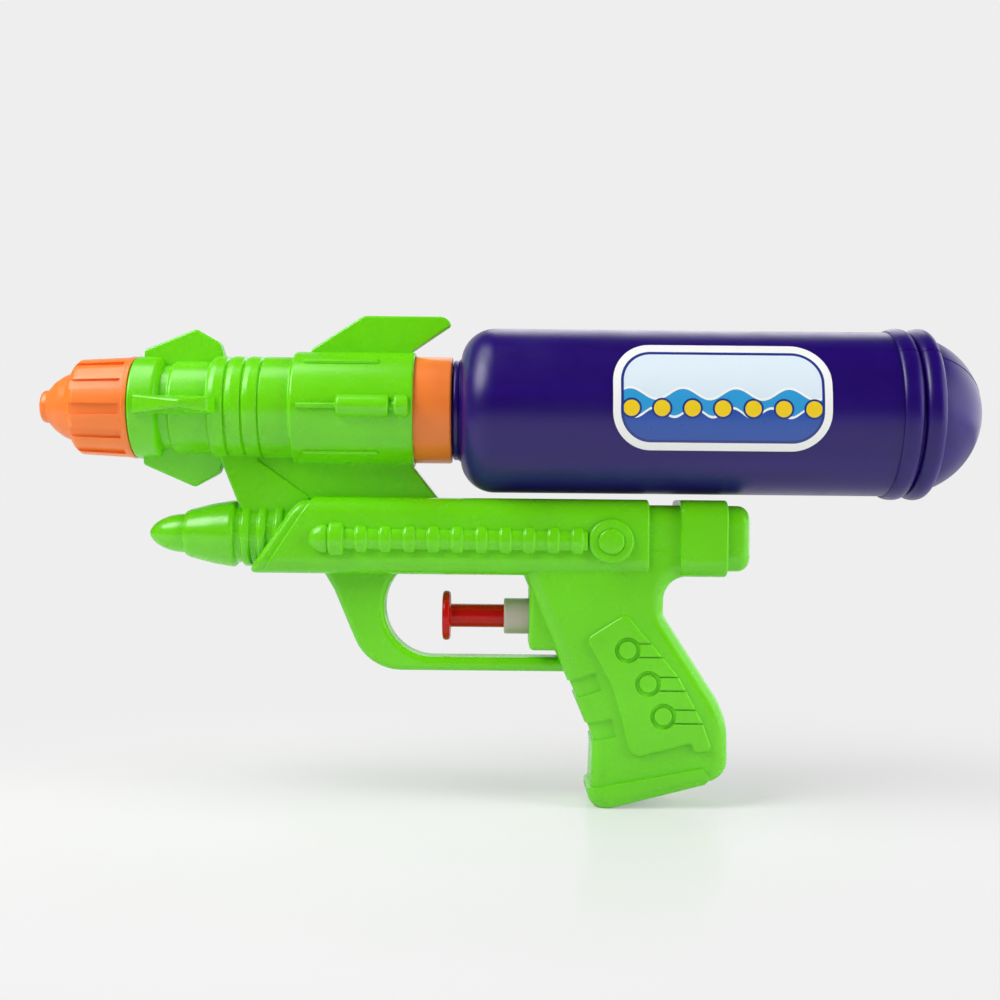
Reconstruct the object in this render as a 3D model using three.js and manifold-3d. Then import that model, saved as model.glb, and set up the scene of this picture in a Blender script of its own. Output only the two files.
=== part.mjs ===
// Hand-pumped water squirter with a screw-on tank.
// Millimetres. The origin is the middle of the hand grip. X runs from the muzzle (minus) to the tank (plus),
// Z is up, and the casing halves meet at Y = 0.

import * as THREE from "three";
import { mergeVertices } from "three/addons/utils/BufferGeometryUtils.js";
import Module from "manifold-3d";

const wasm = await Module();
wasm.setup();

// Clearances and walls
const SEAM_GAP = 0.2; // between the two casing halves
const RUNNING_GAP = 0.3; // between pieces that turn or slide on each other
const SEAT_GAP = 0.25; // between pieces that are pressed or clamped together
const WALL = 2; // casing wall
const OVERSHOOT = 1; // how far a cutting form runs past the face that it cuts
const SINK = 2; // how far a joined form runs into the form that carries it

// Facets
const BARREL_SIDES = 20;
const TANK_SIDES = 24;
const SMALL_SIDES = 16;
const HOLE_SIDES = 10;
const MOULDING_SIDES = 8;
const ROUND_STEPS = 4; // along a rounded end or shoulder
const DOME_STEPS = 5;
const THREAD_STEPS = 16; // per turn
const CURL_STEPS = 8; // spring wire steps per turn
const WIRE_SIDES = 5;

// Receiver, the long box under the barrel
const RECEIVER_AXIS_Z = 46.2;
const RECEIVER_HEIGHT = 22.6;
const RECEIVER_WIDTH = 25;
const RECEIVER_CORNER = 5;
const RECEIVER_REAR_X = 0.7;
const RECEIVER_TOP_LENGTH = 101.9;
const RECEIVER_LEAN = 14.8; // how much further forward the bottom edge reaches
const LIP_LENGTH = 4.2; // lower lip along the leaning front edge
const LIP_STEP = 0.7; // how much lower than the sides it lies
const RECEIVER_FRONT_WALL = 3;

// Tail behind the receiver: neck, block and rounded end cap
const TAIL_NECK_LENGTH = 9.2;
const TAIL_BLOCK_LENGTH = 13.9;
const TAIL_CAP_LENGTH = 6.8;
const TAIL_INSET = 1.6; // neck and cap are this much smaller all round than the block
const TAIL_CAP_ROUND = 3.5;

// Nose in front of the receiver, turned about the receiver's axis
const NOSE_LENGTH = 46.6; // from the tip to the receiver's front edge at the top
const NOSE_TIP_RADIUS = 5.7;
const NOSE_TIP_LENGTH = 10.8;
const NOSE_SHOULDER_RADIUS = 7.6;
const NOSE_SHOULDER_LENGTH = 2;
const NOSE_RADIUS = 9.7;
const NOSE_CONE_LENGTH = 13.3;
const NOSE_RING_PITCH = 4.95;
const NOSE_RING_WIDTH = 2.6;
const NOSE_RING_COUNT = 3;
const NOSE_GROOVE_DEPTH = 0.8;
const NOSE_BORE_RADIUS = 7;
const NOSE_TIP_WALL = 4;
const NOSE_TIP_BORE = 2.7;

// Half-round moulding along both sides of the receiver
const MOULDING_DROP = 0.9; // below the receiver's axis
const MOULDING_FLATNESS = 0.6; // how far it stands out, as a share of its half height
const MOULDING_BAR_RADIUS = 3.2;
const MOULDING_BAR_LENGTH = 71;
const MOULDING_BAND_RADIUS = 4.8;
const MOULDING_BAND_LENGTH = 4.6;
const MOULDING_DOME_LENGTH = 5.6;
const MOULDING_DOME_RADIUS = 4.1;
const MOULDING_START = 2.6; // behind the receiver's front edge at the top
const BEAD_RADIUS = 3.85;
const BEAD_WIDTH = 3.4;
const BEAD_PITCH = 7;
const BEAD_COUNT = 10;
const BEAD_START = 3.4; // from the band to the first bead
const BUTTON_RADIUS = 6.6; // round boss behind the bar
const BUTTON_RAISE = 1.5;
const BUTTON_DISC_RADIUS = 3.7;
const BUTTON_DISC_RAISE = 0.7;
const BUTTON_GAP = 0.3;

// Tank, turned about the barrel's axis
const TANK_RADIUS = 24.5;
const TANK_WALL = 1.4;
const TANK_OVER_RECEIVER = 1.7; // air between the tank and the receiver's top
const TANK_SHOULDER_ROUND = 10.2;
const TANK_BODY_LENGTH = 129.1; // shoulder face to the middle of the first end ring
const TANK_RING_RAISE = 1.1;
const TANK_RING_WIDTH = 6;
const TANK_RING_PITCH = 6.4;
const TANK_DOME_INSET = 0.5; // dome's radius under the tank's
const TANK_DOME_OFFSET = 1.8; // dome centre behind the first ring's middle
const NECK_RADIUS = 12.3;
const NECK_WALL = 1.5;
const NECK_LENGTH = 10.8;
const NECK_BEAD_RADIUS = 14.9;
const NECK_BEAD_WIDTH = 2.2;
const THREAD_PITCH = 3.5;
const THREAD_TURNS = 1.5;
const THREAD_RADIUS = 0.75; // half the thickness of the rounded thread
const THREAD_SINK = 0.5; // depth of the thread's middle inside the wall that carries it
const THREAD_LEAD_IN = 1.4; // from the neck's mouth to the thread's first middle

// Gasket between the neck's mouth and the collar's floor
const GASKET_THICKNESS = 1.2;
const GASKET_WIDTH = 1.7;

// Collar that carries the tank
const COLLAR_RADIUS = 15.9;
const COLLAR_REACH = 11.1; // how far it stands out of the barrel
const COLLAR_HOLD_RADIUS = 12.6; // waist held by the barrel's inner rib
const COLLAR_FLANGE_RADIUS = 14.6;
const COLLAR_FLANGE_WIDTH = 2;
const COLLAR_RIB_WIDTH = 2;
const COLLAR_INSERT = 2.7; // full-size part inside the barrel
const THREAD_BORE_GAP = 0.4; // between the tank's thread and the collar's bore

// Barrel, from the rear forwards
const BARREL_REAR_BACK = 32.7; // its rear behind the receiver's front edge at the top
const SLEEVE_RADIUS = 17.1;
const SLEEVE_LENGTH = 35.7;
const PLAIN_RADIUS = 15.5;
const PLAIN_LENGTH = 9.3;
const RIB_RADIUS = 15.6;
const RIB_PITCH = 5;
const RIB_COUNT = 3;
const RIB_GROOVE = 0.8;
const STEP_RADIUS = 14;
const STEP_LENGTH = 11.4;
const GROOVE_RADIUS = 12.8;
const GROOVE_LENGTH = 3.7;
const FRONT_RADIUS = 15.3;
const FRONT_LENGTH = 8;
const RING_EDGE = 0.6; // small chamfer on each ring
const FRONT_WALL = 2.4;

// Four front fins
const FIN_COUNT = 4;
const FIN_START = 2.3; // behind the barrel's front
const FIN_NOSE_HEIGHT = 1.9;
const FIN_PEAK_BACK = 17.2;
const FIN_PEAK_HEIGHT = 8.4;
const FIN_TAIL_BACK = 24.7;
const FIN_TAIL_HEIGHT = 4.2;
const FIN_END_BACK = 26;
const FIN_ROOT_THICKNESS = 5.5; // up to the nose's height
const FIN_TIP_THICKNESS = 2;

// Rear top fin
const REAR_FIN_FRONT = 31.3; // ahead of the barrel's rear
const REAR_FIN_CREST_FRONT = 15.8;
const REAR_FIN_HEIGHT = 11;
const REAR_FIN_CREST_BACK = 9.1; // behind the barrel's rear
const REAR_FIN_TIP_BACK = 10.6;
const REAR_FIN_TIP_HEIGHT = 8.2;
const REAR_FIN_HEEL_HEIGHT = 0.7;
const REAR_FIN_ROOT_THICKNESS = 4.6;
const REAR_FIN_TIP_THICKNESS = 2.4;

// Mouldings on both sides of the sleeve
const SLEEVE_ROD_FRONT = 32.4; // ahead of the barrel's rear
const SLEEVE_ROD_LENGTH = 10.4;
const SLEEVE_ROD_RADIUS = 0.85;
const SLEEVE_BAR_LENGTH = 15.2;
const SLEEVE_BAR_RADIUS = 3.25;
const SLEEVE_BLOCK_FRONT = 5.2;
const SLEEVE_BLOCK_LENGTH = 4;
const SLEEVE_RIB_ANGLE = 54; // degrees above and below the side
const SLEEVE_RIB_LENGTH = 22.1;
const SLEEVE_RIB_WIDTH = 1.7;
const SLEEVE_RIB_RAISE = 0.7;

// Web between barrel and receiver
const WEB_FRONT_WIDTH = 11;
const WEB_REAR_WIDTH = 9;
const WEB_TOP_FRONT = 25; // behind the barrel's front
const WEB_FOOT_FRONT = 18.8; // ahead of the receiver's front edge at the top
const WEB_FOOT_DROP = 3.8; // that corner under the receiver's top
const WEB_TOP_REAR = 0.4; // ahead of the barrel's rear
const WEB_FOOT_REAR = 6.9; // behind the barrel's rear
const WEB_STEP_TOP = 46.3; // step line ahead of the barrel's rear, at the barrel
const WEB_STEP_FOOT = 31.2; // the same at the receiver

// Trigger guard
const GUARD_WIDTH = 11;
const GUARD_EDGE = 1.6;
const GUARD_BOW_X = -62.3; // middle of the round inner bow
const GUARD_BOW_RADIUS = 14.7;
const GUARD_BOW_DROP = 9.8; // middle of the bow below the receiver's underside
const GUARD_BAR_HEIGHT = 4.2;
const GUARD_TOP_DEPTH = 19.7; // strap, front to back, under the receiver
const GUARD_ROOT_FLARE = 2; // how much further forward its root reaches
const GUARD_ROOT_RISE = 5;
const GUARD_FOOT_X = -81.8; // outer lines' meeting point under the bow
const GUARD_FOOT_ROUND = 15;

// Hand grip, whose corners are [x, z, rounding] from the origin
const GRIP_WIDTH = 22;
const GRIP_EDGE = 3.4;
const GRIP_DROP = 34.4; // the toe's corner below the origin
const GRIP_FRONT_TOP = [-36.2, 35.8, 0];
const GRIP_FRONT_BEND = [-15.2, -13.5, 16];
const GRIP_TOE = [-15.9, -GRIP_DROP, 4.6];
const GRIP_HEEL = [24.6, 10.4 - GRIP_DROP, 6.6];
const GRIP_BACK_BEND = [24.4, -5.8, 24];
const GRIP_HOLLOW_FOOT = [5.4, 23.5, 5];
const GRIP_HOLLOW_ROUND = 7; // web of the thumb, under the receiver
const PANEL_RAISE = 0.8; // raised plate on each side of the grip
const PANEL = [
  [-5.8, 24.2, 1.6],
  [-17.4, 16.8, 1.6],
  [-9.9, 3.2, 0],
  [-7.1, -5.7, 0],
  [-4.1, -18.2, 2.6],
  [13.7, -13.7, 0],
  [14.5, -17.3, 1.8],
  [20.3, -16.2, 1.8],
  [16.6, -6.8, 0],
  [9.7, 6.1, 0],
];
const FOOT_PLATE = [
  [-13.3, 8 - GRIP_DROP, 0],
  [16.5, 13.6 - GRIP_DROP, 0],
  [18.6, 10.8 - GRIP_DROP, 0],
  [17, 9.5 - GRIP_DROP, 0],
  [-12.4, 4 - GRIP_DROP, 0],
];
const RECESS_DEPTH = 0.7; // finger recesses that wrap the front edge
const RECESS_LENGTH = 6.4;
const RECESS_HEIGHT = 5.4;
const RECESS_PLACES = [[-16.8, 3.2, 19], [-12.2, -9.9, 12]]; // [x, z, degrees of turn]

// Pump, along X under the receiver
const PUMP_DROP = 12.6; // pump axis below the receiver's underside
const PUMP_BLOCK_FRONT_X = -34.1;
const PUMP_BLOCK_WIDTH = 18;
const PUMP_BLOCK_DEPTH = 12;
const PUMP_BLOCK_UNDER = 9.5; // block's underside below the pump axis
const PUMP_BLOCK_EDGE = 1;
const CYLINDER_RADIUS = 5.3;
const CYLINDER_BORE = 4.1;
const CYLINDER_REACH = 7.4; // how far it stands out of the pump block
const CYLINDER_LENGTH = 34;
const CYLINDER_FLANGE_RADIUS = 6.8;
const CYLINDER_FLANGE_WIDTH = 1.6;
const CYLINDER_FLANGE_BACK = 3; // behind the pump block's front
const BUSH_LENGTH = 3;
const ROD_RADIUS = 3.3;
const PAD_RADIUS = 7.4;
const PAD_THICKNESS = 2.3;
const PAD_EDGE = 0.7;
const PAD_REACH = 16; // pad's back ahead of the cylinder's mouth
const PISTON_LENGTH = 4.5;
const SEAL_RADIUS = 0.5; // half the thickness of the seal ring
const SPRING_WIRE_RADIUS = 0.4;
const SPRING_TURNS = 6;
const SPRING_RADIUS = 2.9;

// Valve block behind the cylinder
const SOCKET_DEPTH = 7;
const VALVE_WALL = 1.8;
const VALVE_REAR_LENGTH = 9.7; // behind the socket's floor
const CHAMBER_RADIUS = 1.9;
const CHIMNEY_WALL = 1.7;
const CHIMNEY_RISE = 5.2; // above the block's top
const OUTLET_FROM_SOCKET = 3.7; // outlet chimney ahead of the socket's floor
const INLET_FROM_SOCKET = 5; // inlet chimney behind the socket's floor
const PORT_RADIUS = 0.8;
const BALL_RADIUS = 1.5;
const BALL_GAP = 0.12;
const OUTLET_FLOOR = 0.5; // outlet chamber's floor under the block's top
const OUTLET_PLUG = 1.4; // depth of the outlet nipple's plug
const INLET_PLUG = 3.6;
const INLET_DEPTH = 2; // inlet chamber's floor under the pump axis
const VALVE_WIRE_RADIUS = 0.25;
const VALVE_SPRING_TURNS = 4;
const VALVE_SPRING_RADIUS = 1.3;

// Hoses and their nipples
const HOSE_RADIUS = 2.4;
const HOSE_BORE = 1.5;
const HOSE_BEND = 7.5;
const BEND_STEPS = 4;
const HOSE_SIDES = 8;
const NIPPLE_LENGTH = 3;
const NIPPLE_FLANGE = 0.9;
const NIPPLE_BORE = 0.8;
const HOSE_CHANNEL_GAP = 0.5;
const INLET_HOSE_LEVEL = 6.4; // above the receiver's axis
const OUTLET_HOSE_LEVEL = 0.9;
const INLET_RISER_BACK = 13.2; // behind the receiver's front edge at the top
const OUTLET_RISER_BACK = 3.2;

// Nozzle cap and jet pipe
const CAP_RADIUS = 15.2;
const CAP_RING_LENGTH = 1;
const FLUTED_LENGTH = 15.2;
const FLUTED_FRONT_RADIUS = 14.2;
const FLUTED_REAR_RADIUS = 15;
const FLUTE_COUNT = 12;
const FLUTE_RADIUS = 2;
const FLUTE_DEPTH = 0.85;
const CAP_CONE_LENGTH = 3.6;
const OGIVE_RADIUS = 9.6;
const OGIVE_LENGTH = 6.7;
const TIP_RADIUS = 4.8;
const TIP_LENGTH = 1.8;
const CAP_SPIGOT_RADIUS = 8.6;
const CAP_FLANGE_RADIUS = 10.2;
const CAP_FLANGE_WIDTH = 1.6;
const CAP_CORE_WALL = 1.1; // under the flutes
const CAP_CORE_DEPTH = 13;
const JET_RADIUS = 2.6;
const JET_HOLE_RADIUS = 0.9;
const CAP_HOLE_RADIUS = 1.8;
const JET_RECESS = 1.2; // jet's end behind the cap's tip
const JET_FLANGE_RADIUS = 4.2;
const JET_FLANGE_WIDTH = 1.4;
const JET_WALL_WIDTH = 2; // bulkhead that holds the jet pipe
const JET_WALL_BACK = 8.4; // behind the barrel's front
const JET_TAIL = 3; // plain pipe behind the bulkhead

// Dip tube
const DIP_RADIUS = 2.2;
const DIP_BORE = 1.3;
const DIP_SOCKET = 3;
const DIP_END_GAP = 10; // from the dome's inside
const DIP_SAG = 3; // degrees below the barrel's axis

// Sticker on the tank's near side
const STICKER_LENGTH = 62;
const STICKER_HEIGHT = 30.5;
const STICKER_CORNER = 11;
const STICKER_BACK = 74.6; // its middle behind the tank's shoulder
const STICKER_LIFT = 3.1; // its middle above the barrel's axis
const STICKER_THICKNESS = 0.3;
const STICKER_GAP = 0.1;

// Case screws, and the posts that they join
const SCREW_SHANK = 1.3;
const SCREW_HEAD_RADIUS = 2.6;
const SCREW_HEAD_HEIGHT = 1.8;
const SCREW_LENGTH = 12;
const SCREW_SEAT_Y = 5.5;
const SCREW_SLOT_LENGTH = 3.6;
const SCREW_SLOT_WIDTH = 0.8;
const SCREW_SLOT_DEPTH = 0.9;
const BOSS_RADIUS = 2.9;
const BARREL_SCREW_RISE = 9; // above the barrel's axis
const RECEIVER_SCREW_DROP = 6.9; // below the receiver's axis
const GRIP_SCREWS = [[0, 8], [3, 14.6 - GRIP_DROP]]; // [x, z] of each
const RECEIVER_SCREW_BACK = 26;
const SLEEVE_SCREW_FRONT = 13.5;

// Places that follow from the sizes above
const receiverTop = RECEIVER_AXIS_Z + RECEIVER_HEIGHT / 2;
const receiverBottom = RECEIVER_AXIS_Z - RECEIVER_HEIGHT / 2;
const receiverFrontX = RECEIVER_REAR_X - RECEIVER_TOP_LENGTH;
const barrelRearX = receiverFrontX + BARREL_REAR_BACK;
const barrelZ = receiverTop + TANK_OVER_RECEIVER + TANK_RADIUS;
const pumpZ = receiverBottom - PUMP_DROP;
const sleeveFrontX = barrelRearX - SLEEVE_LENGTH;
const plainFrontX = sleeveFrontX - PLAIN_LENGTH;
const ribsFrontX = plainFrontX - RIB_COUNT * RIB_PITCH;
const stepFrontX = ribsFrontX - STEP_LENGTH;
const grooveFrontX = stepFrontX - GROOVE_LENGTH;
const barrelFrontX = grooveFrontX - FRONT_LENGTH;
const collarRearX = barrelRearX + COLLAR_REACH;
const neckBeadX = collarRearX + RUNNING_GAP;
const shoulderX = neckBeadX + NECK_BEAD_WIDTH;
const neckMouthX = neckBeadX - NECK_LENGTH;
const gasketX = neckMouthX - SEAT_GAP - GASKET_THICKNESS;
const collarFloorX = gasketX - SEAT_GAP;
const stickerX = shoulderX + STICKER_BACK;
const ringX = shoulderX + TANK_BODY_LENGTH;
const domeRadius = TANK_RADIUS - TANK_DOME_INSET;
const domeX = ringX + TANK_DOME_OFFSET;
const pumpMouthX = PUMP_BLOCK_FRONT_X - CYLINDER_REACH;
const cylinderEndX = pumpMouthX + CYLINDER_LENGTH;
const pistonX = pumpMouthX + BUSH_LENGTH + RUNNING_GAP;
const socketFloorX = cylinderEndX + SEAT_GAP;
const valveTop = pumpZ + CYLINDER_RADIUS + SEAT_GAP + VALVE_WALL;
const chimneyTop = valveTop + CHIMNEY_RISE;
const outletX = socketFloorX - OUTLET_FROM_SOCKET;
const inletX = socketFloorX + INLET_FROM_SOCKET;
const hoseStartZ = chimneyTop + SEAT_GAP + NIPPLE_FLANGE + SEAT_GAP;
const inletRiserX = receiverFrontX + INLET_RISER_BACK;
const outletRiserX = receiverFrontX + OUTLET_RISER_BACK;
const nippleRadius = HOSE_BORE - SEAT_GAP / 2;

// Solids from three.js geometry

const MERGE_DISTANCE = 1e-4;
const WIDE = 400; // wider than the whole object

function toSolid(geometry) {
  const bare = new THREE.BufferGeometry();
  bare.setAttribute("position", geometry.getAttribute("position"));
  if (geometry.index) bare.setIndex(geometry.index);
  const merged = mergeVertices(bare, MERGE_DISTANCE);
  const corners = merged.index.array;
  const kept = [];
  for (let i = 0; i < corners.length; i += 3) {
    const [a, b, c] = corners.slice(i, i + 3);
    if (a !== b && b !== c && c !== a) kept.push(a, b, c);
  }
  const mesh = new wasm.Mesh({
    numProp: 3,
    vertProperties: merged.attributes.position.array,
    triVerts: new Uint32Array(kept),
  });
  return new wasm.Manifold(mesh);
}

function joined(solids) {
  return solids.reduce((sum, next) => sum.add(next));
}

function cut(solid, cutters) {
  return cutters.reduce((rest, cutter) => rest.subtract(cutter), solid);
}

// A form turned about a line along X. The profile is [x, radius], its outer side in rising x.
function turned(profile, sides, z, y = 0) {
  const points = profile.map(([x, radius]) => new THREE.Vector2(radius, x));
  const geometry = new THREE.LatheGeometry(points, sides);
  geometry.rotateZ(-Math.PI / 2);
  geometry.translate(0, y, z);
  return toSolid(geometry);
}

// A form turned about a vertical line. The profile is [z, radius], its outer side in rising z.
function turnedUpright(profile, sides, x) {
  const points = profile.map(([z, radius]) => new THREE.Vector2(radius, z));
  const geometry = new THREE.LatheGeometry(points, sides);
  geometry.rotateX(Math.PI / 2);
  geometry.translate(x, 0, 0);
  return toSolid(geometry);
}

// The profile of a plain rod or hole, closed on its axis
function rodProfile(from, to, radius) {
  return [[from, 0], [from, radius], [to, radius], [to, 0]];
}

// The profile of a ring or tube
function ringProfile(from, to, outer, inner) {
  return [[from, inner], [from, outer], [to, outer], [to, inner], [from, inner]];
}

// A round bar across the object, from one y to another
function crossBar(x, z, radius, fromY, toY) {
  const geometry = new THREE.CylinderGeometry(radius, radius, toY - fromY, HOLE_SIDES);
  geometry.translate(x, (fromY + toY) / 2, z);
  return toSolid(geometry);
}

function box(fromX, toX, fromY, toY, fromZ, toZ) {
  const geometry = new THREE.BoxGeometry(toX - fromX, toY - fromY, toZ - fromZ);
  geometry.translate((fromX + toX) / 2, (fromY + toY) / 2, (fromZ + toZ) / 2);
  return toSolid(geometry);
}

function shapeOf(points) {
  return new THREE.Shape(points.map(([a, b]) => new THREE.Vector2(a, b)));
}

// A plate cut to a side outline of [x, z] and centred on the seam, its edges rounded over
function plate(outline, width, edge = 0, edgeSteps = 2) {
  const geometry = new THREE.ExtrudeGeometry(shapeOf(outline), {
    depth: width - 2 * edge,
    steps: 1,
    bevelEnabled: edge > 0,
    bevelThickness: edge,
    bevelSize: edge,
    bevelOffset: -edge,
    bevelSegments: edgeSteps,
  });
  geometry.translate(0, 0, edge - width / 2);
  geometry.rotateX(Math.PI / 2);
  return toSolid(geometry);
}

// A bar of rounded box section along X, centred on the seam
function roundedBar(fromX, toX, width, height, corner, z, endRound = 0) {
  const shape = new THREE.Shape();
  const y = width / 2 - corner;
  const h = height / 2 - corner;
  shape.absarc(y, h, corner, 0, Math.PI / 2);
  shape.absarc(-y, h, corner, Math.PI / 2, Math.PI);
  shape.absarc(-y, -h, corner, Math.PI, 1.5 * Math.PI);
  shape.absarc(y, -h, corner, 1.5 * Math.PI, 2 * Math.PI);
  const geometry = new THREE.ExtrudeGeometry(shape, {
    depth: toX - fromX - 2 * endRound,
    steps: 1,
    curveSegments: 3,
    bevelEnabled: endRound > 0,
    bevelThickness: endRound,
    bevelSize: endRound,
    bevelOffset: -endRound,
    bevelSegments: 2,
  });
  geometry.translate(0, 0, fromX + endRound);
  const alongX = new THREE.Matrix4().makeBasis(
    new THREE.Vector3(0, 1, 0),
    new THREE.Vector3(0, 0, 1),
    new THREE.Vector3(1, 0, 0),
  );
  geometry.applyMatrix4(alongX);
  geometry.translate(0, 0, z);
  return toSolid(geometry);
}

// Points along an arc, angles in degrees
function arc(x, z, radius, from, to, steps) {
  return Array.from({ length: steps + 1 }, (_, i) => {
    const angle = THREE.MathUtils.degToRad(THREE.MathUtils.lerp(from, to, i / steps));
    return [x + radius * Math.cos(angle), z + radius * Math.sin(angle)];
  });
}

// An outline from corners of [x, z, rounding]
function filleted(corners, steps = 4) {
  return corners.flatMap(([x, z, radius], i) => {
    if (!radius) return [[x, z]];
    const [px, pz] = corners[(i + corners.length - 1) % corners.length];
    const [nx, nz] = corners[(i + 1) % corners.length];
    const corner = new THREE.Vector2(x, z);
    const back = new THREE.Vector2(px - x, pz - z).normalize();
    const ahead = new THREE.Vector2(nx - x, nz - z).normalize();
    const half = Math.acos(back.dot(ahead)) / 2;
    const start = corner.clone().addScaledVector(back, radius / Math.tan(half));
    const end = corner.clone().addScaledVector(ahead, radius / Math.tan(half));
    const middle = back.add(ahead).normalize().multiplyScalar(radius / Math.sin(half)).add(corner);
    const from = start.sub(middle);
    const sweep = end.sub(middle).angle() - from.angle();
    const turn = Math.atan2(Math.sin(sweep), Math.cos(sweep));
    return Array.from({ length: steps + 1 }, (_, k) => {
      const p = from.clone().rotateAround(new THREE.Vector2(), (turn * k) / steps).add(middle);
      return [p.x, p.y];
    });
  });
}

// An outline moved inwards by a distance, corner by corner, for an outline that turns left
function inset(outline, distance) {
  return outline.map(([x, z], i) => {
    const [px, pz] = outline[(i + outline.length - 1) % outline.length];
    const [nx, nz] = outline[(i + 1) % outline.length];
    const before = new THREE.Vector2(x - px, z - pz).normalize();
    const after = new THREE.Vector2(nx - x, nz - z).normalize();
    const normal = new THREE.Vector2(-before.y - after.y, before.x + after.x).normalize();
    const reach = distance / Math.max(0.5, normal.dot(new THREE.Vector2(-after.y, after.x)));
    return [x + normal.x * reach, z + normal.y * reach];
  });
}

// A right-handed coil about a line along X
class Coil extends THREE.Curve {
  constructor(startX, pitch, turns, radius) {
    super();
    Object.assign(this, { startX, pitch, turns, radius });
  }
  getPoint(t, target = new THREE.Vector3()) {
    const angle = 2 * Math.PI * this.turns * t;
    const x = this.startX + this.pitch * this.turns * t;
    return target.set(x, this.radius * Math.cos(angle), this.radius * Math.sin(angle));
  }
}

// A route through corner points, each corner rounded to the hose's bend, with its steps in the bends
class Route extends THREE.Curve {
  constructor(corners, bend) {
    super();
    this.stations = [corners[0]];
    for (let i = 1; i < corners.length - 1; i++) {
      const into = corners[i].clone().sub(corners[i - 1]).normalize();
      const away = corners[i + 1].clone().sub(corners[i]).normalize();
      const centre = corners[i].clone().addScaledVector(into, -bend).addScaledVector(away, bend);
      for (let k = 0; k <= BEND_STEPS; k++) {
        const angle = (k / BEND_STEPS) * (Math.PI / 2);
        const point = centre.clone().addScaledVector(away, -bend * Math.cos(angle));
        this.stations.push(point.addScaledVector(into, bend * Math.sin(angle)));
      }
    }
    this.stations.push(corners[corners.length - 1]);
  }
  getPointAt(u) {
    return this.stations[Math.round(u * (this.stations.length - 1))].clone();
  }
  getTangentAt(u) {
    const i = Math.round(u * (this.stations.length - 1));
    const last = this.stations.length - 1;
    const along = (k) => this.stations[k + 1].clone().sub(this.stations[k]).normalize();
    if (i === 0) return along(0);
    if (i === last) return along(last - 1);
    return along(i - 1).add(along(i)).normalize();
  }
}

function circlePoints(radius, sides) {
  return Array.from({ length: sides }, (_, i) => {
    const angle = (2 * Math.PI * i) / sides;
    return [radius * Math.cos(angle), radius * Math.sin(angle)];
  });
}

// A wire or tube along a path
function tubeAlong(path, steps, radius, sides, bore = 0) {
  const shape = shapeOf(circlePoints(radius, sides));
  if (bore > 0) {
    shape.holes.push(new THREE.Path(circlePoints(bore, sides).map(([a, b]) => new THREE.Vector2(a, b))));
  }
  return toSolid(new THREE.ExtrudeGeometry(shape, { steps, extrudePath: path, bevelEnabled: false }));
}

// Both casing halves in one: the outer form

// A turned profile's rounded front end, from the axis out to its full radius
function roundedEnd(fromX, length, radius, steps) {
  return Array.from({ length: steps + 1 }, (_, i) => {
    const angle = (i / steps) * (Math.PI / 2);
    return [fromX + length * (1 - Math.cos(angle)), radius * Math.sin(angle)];
  });
}

// A ring of a turned profile with small chamfers at both ends
function chamferedRing(from, to, radius, edge) {
  return [[from, radius - edge], [from + edge, radius], [to - edge, radius], [to, radius - edge]];
}

function barrelForm() {
  const ribs = [];
  for (let i = 0; i < RIB_COUNT; i++) {
    const x = ribsFrontX + i * RIB_PITCH;
    ribs.push(...chamferedRing(x, x + RIB_PITCH, RIB_RADIUS, RIB_GROOVE));
  }
  return turned([
    [barrelFrontX, 0],
    ...chamferedRing(barrelFrontX, grooveFrontX, FRONT_RADIUS, RING_EDGE),
    [grooveFrontX, GROOVE_RADIUS],
    [stepFrontX, GROOVE_RADIUS],
    [stepFrontX, STEP_RADIUS],
    [ribsFrontX, STEP_RADIUS],
    ...ribs,
    [plainFrontX, PLAIN_RADIUS],
    [sleeveFrontX, PLAIN_RADIUS],
    ...chamferedRing(sleeveFrontX, barrelRearX, SLEEVE_RADIUS, RING_EDGE),
    [barrelRearX, 0],
  ], BARREL_SIDES, barrelZ);
}

// A fin in the seam plane above the barrel, thinner from a radius to its crest. The outline is [x, radius].
function fin(outline, taperRadius, crestRadius, rootThickness, crestThickness) {
  const geometry = new THREE.ExtrudeGeometry(shapeOf(outline), { depth: 1, steps: 1, bevelEnabled: false });
  geometry.translate(0, 0, -0.5);
  geometry.rotateX(Math.PI / 2);
  const places = geometry.getAttribute("position");
  for (let i = 0; i < places.count; i++) {
    const share = Math.max(0, (places.getZ(i) - taperRadius) / (crestRadius - taperRadius));
    places.setY(i, places.getY(i) * THREE.MathUtils.lerp(rootThickness, crestThickness, share));
  }
  return geometry;
}

function frontFins() {
  const root = GROOVE_RADIUS - SINK;
  const crest = FRONT_RADIUS + FIN_PEAK_HEIGHT;
  const noseRadius = FRONT_RADIUS + FIN_NOSE_HEIGHT;
  const outline = [
    [barrelFrontX + FIN_START, root],
    [barrelFrontX + FIN_END_BACK, root],
    [barrelFrontX + FIN_END_BACK, FRONT_RADIUS],
    [barrelFrontX + FIN_TAIL_BACK, FRONT_RADIUS + FIN_TAIL_HEIGHT],
    [barrelFrontX + FIN_PEAK_BACK, crest],
    [barrelFrontX + FIN_START, noseRadius],
  ];
  const fins = [];
  for (let i = 0; i < FIN_COUNT; i++) {
    const geometry = fin(outline, noseRadius, crest, FIN_ROOT_THICKNESS, FIN_TIP_THICKNESS);
    geometry.rotateX((2 * Math.PI * i) / FIN_COUNT);
    geometry.translate(0, 0, barrelZ);
    fins.push(toSolid(geometry));
  }
  return joined(fins);
}

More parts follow.
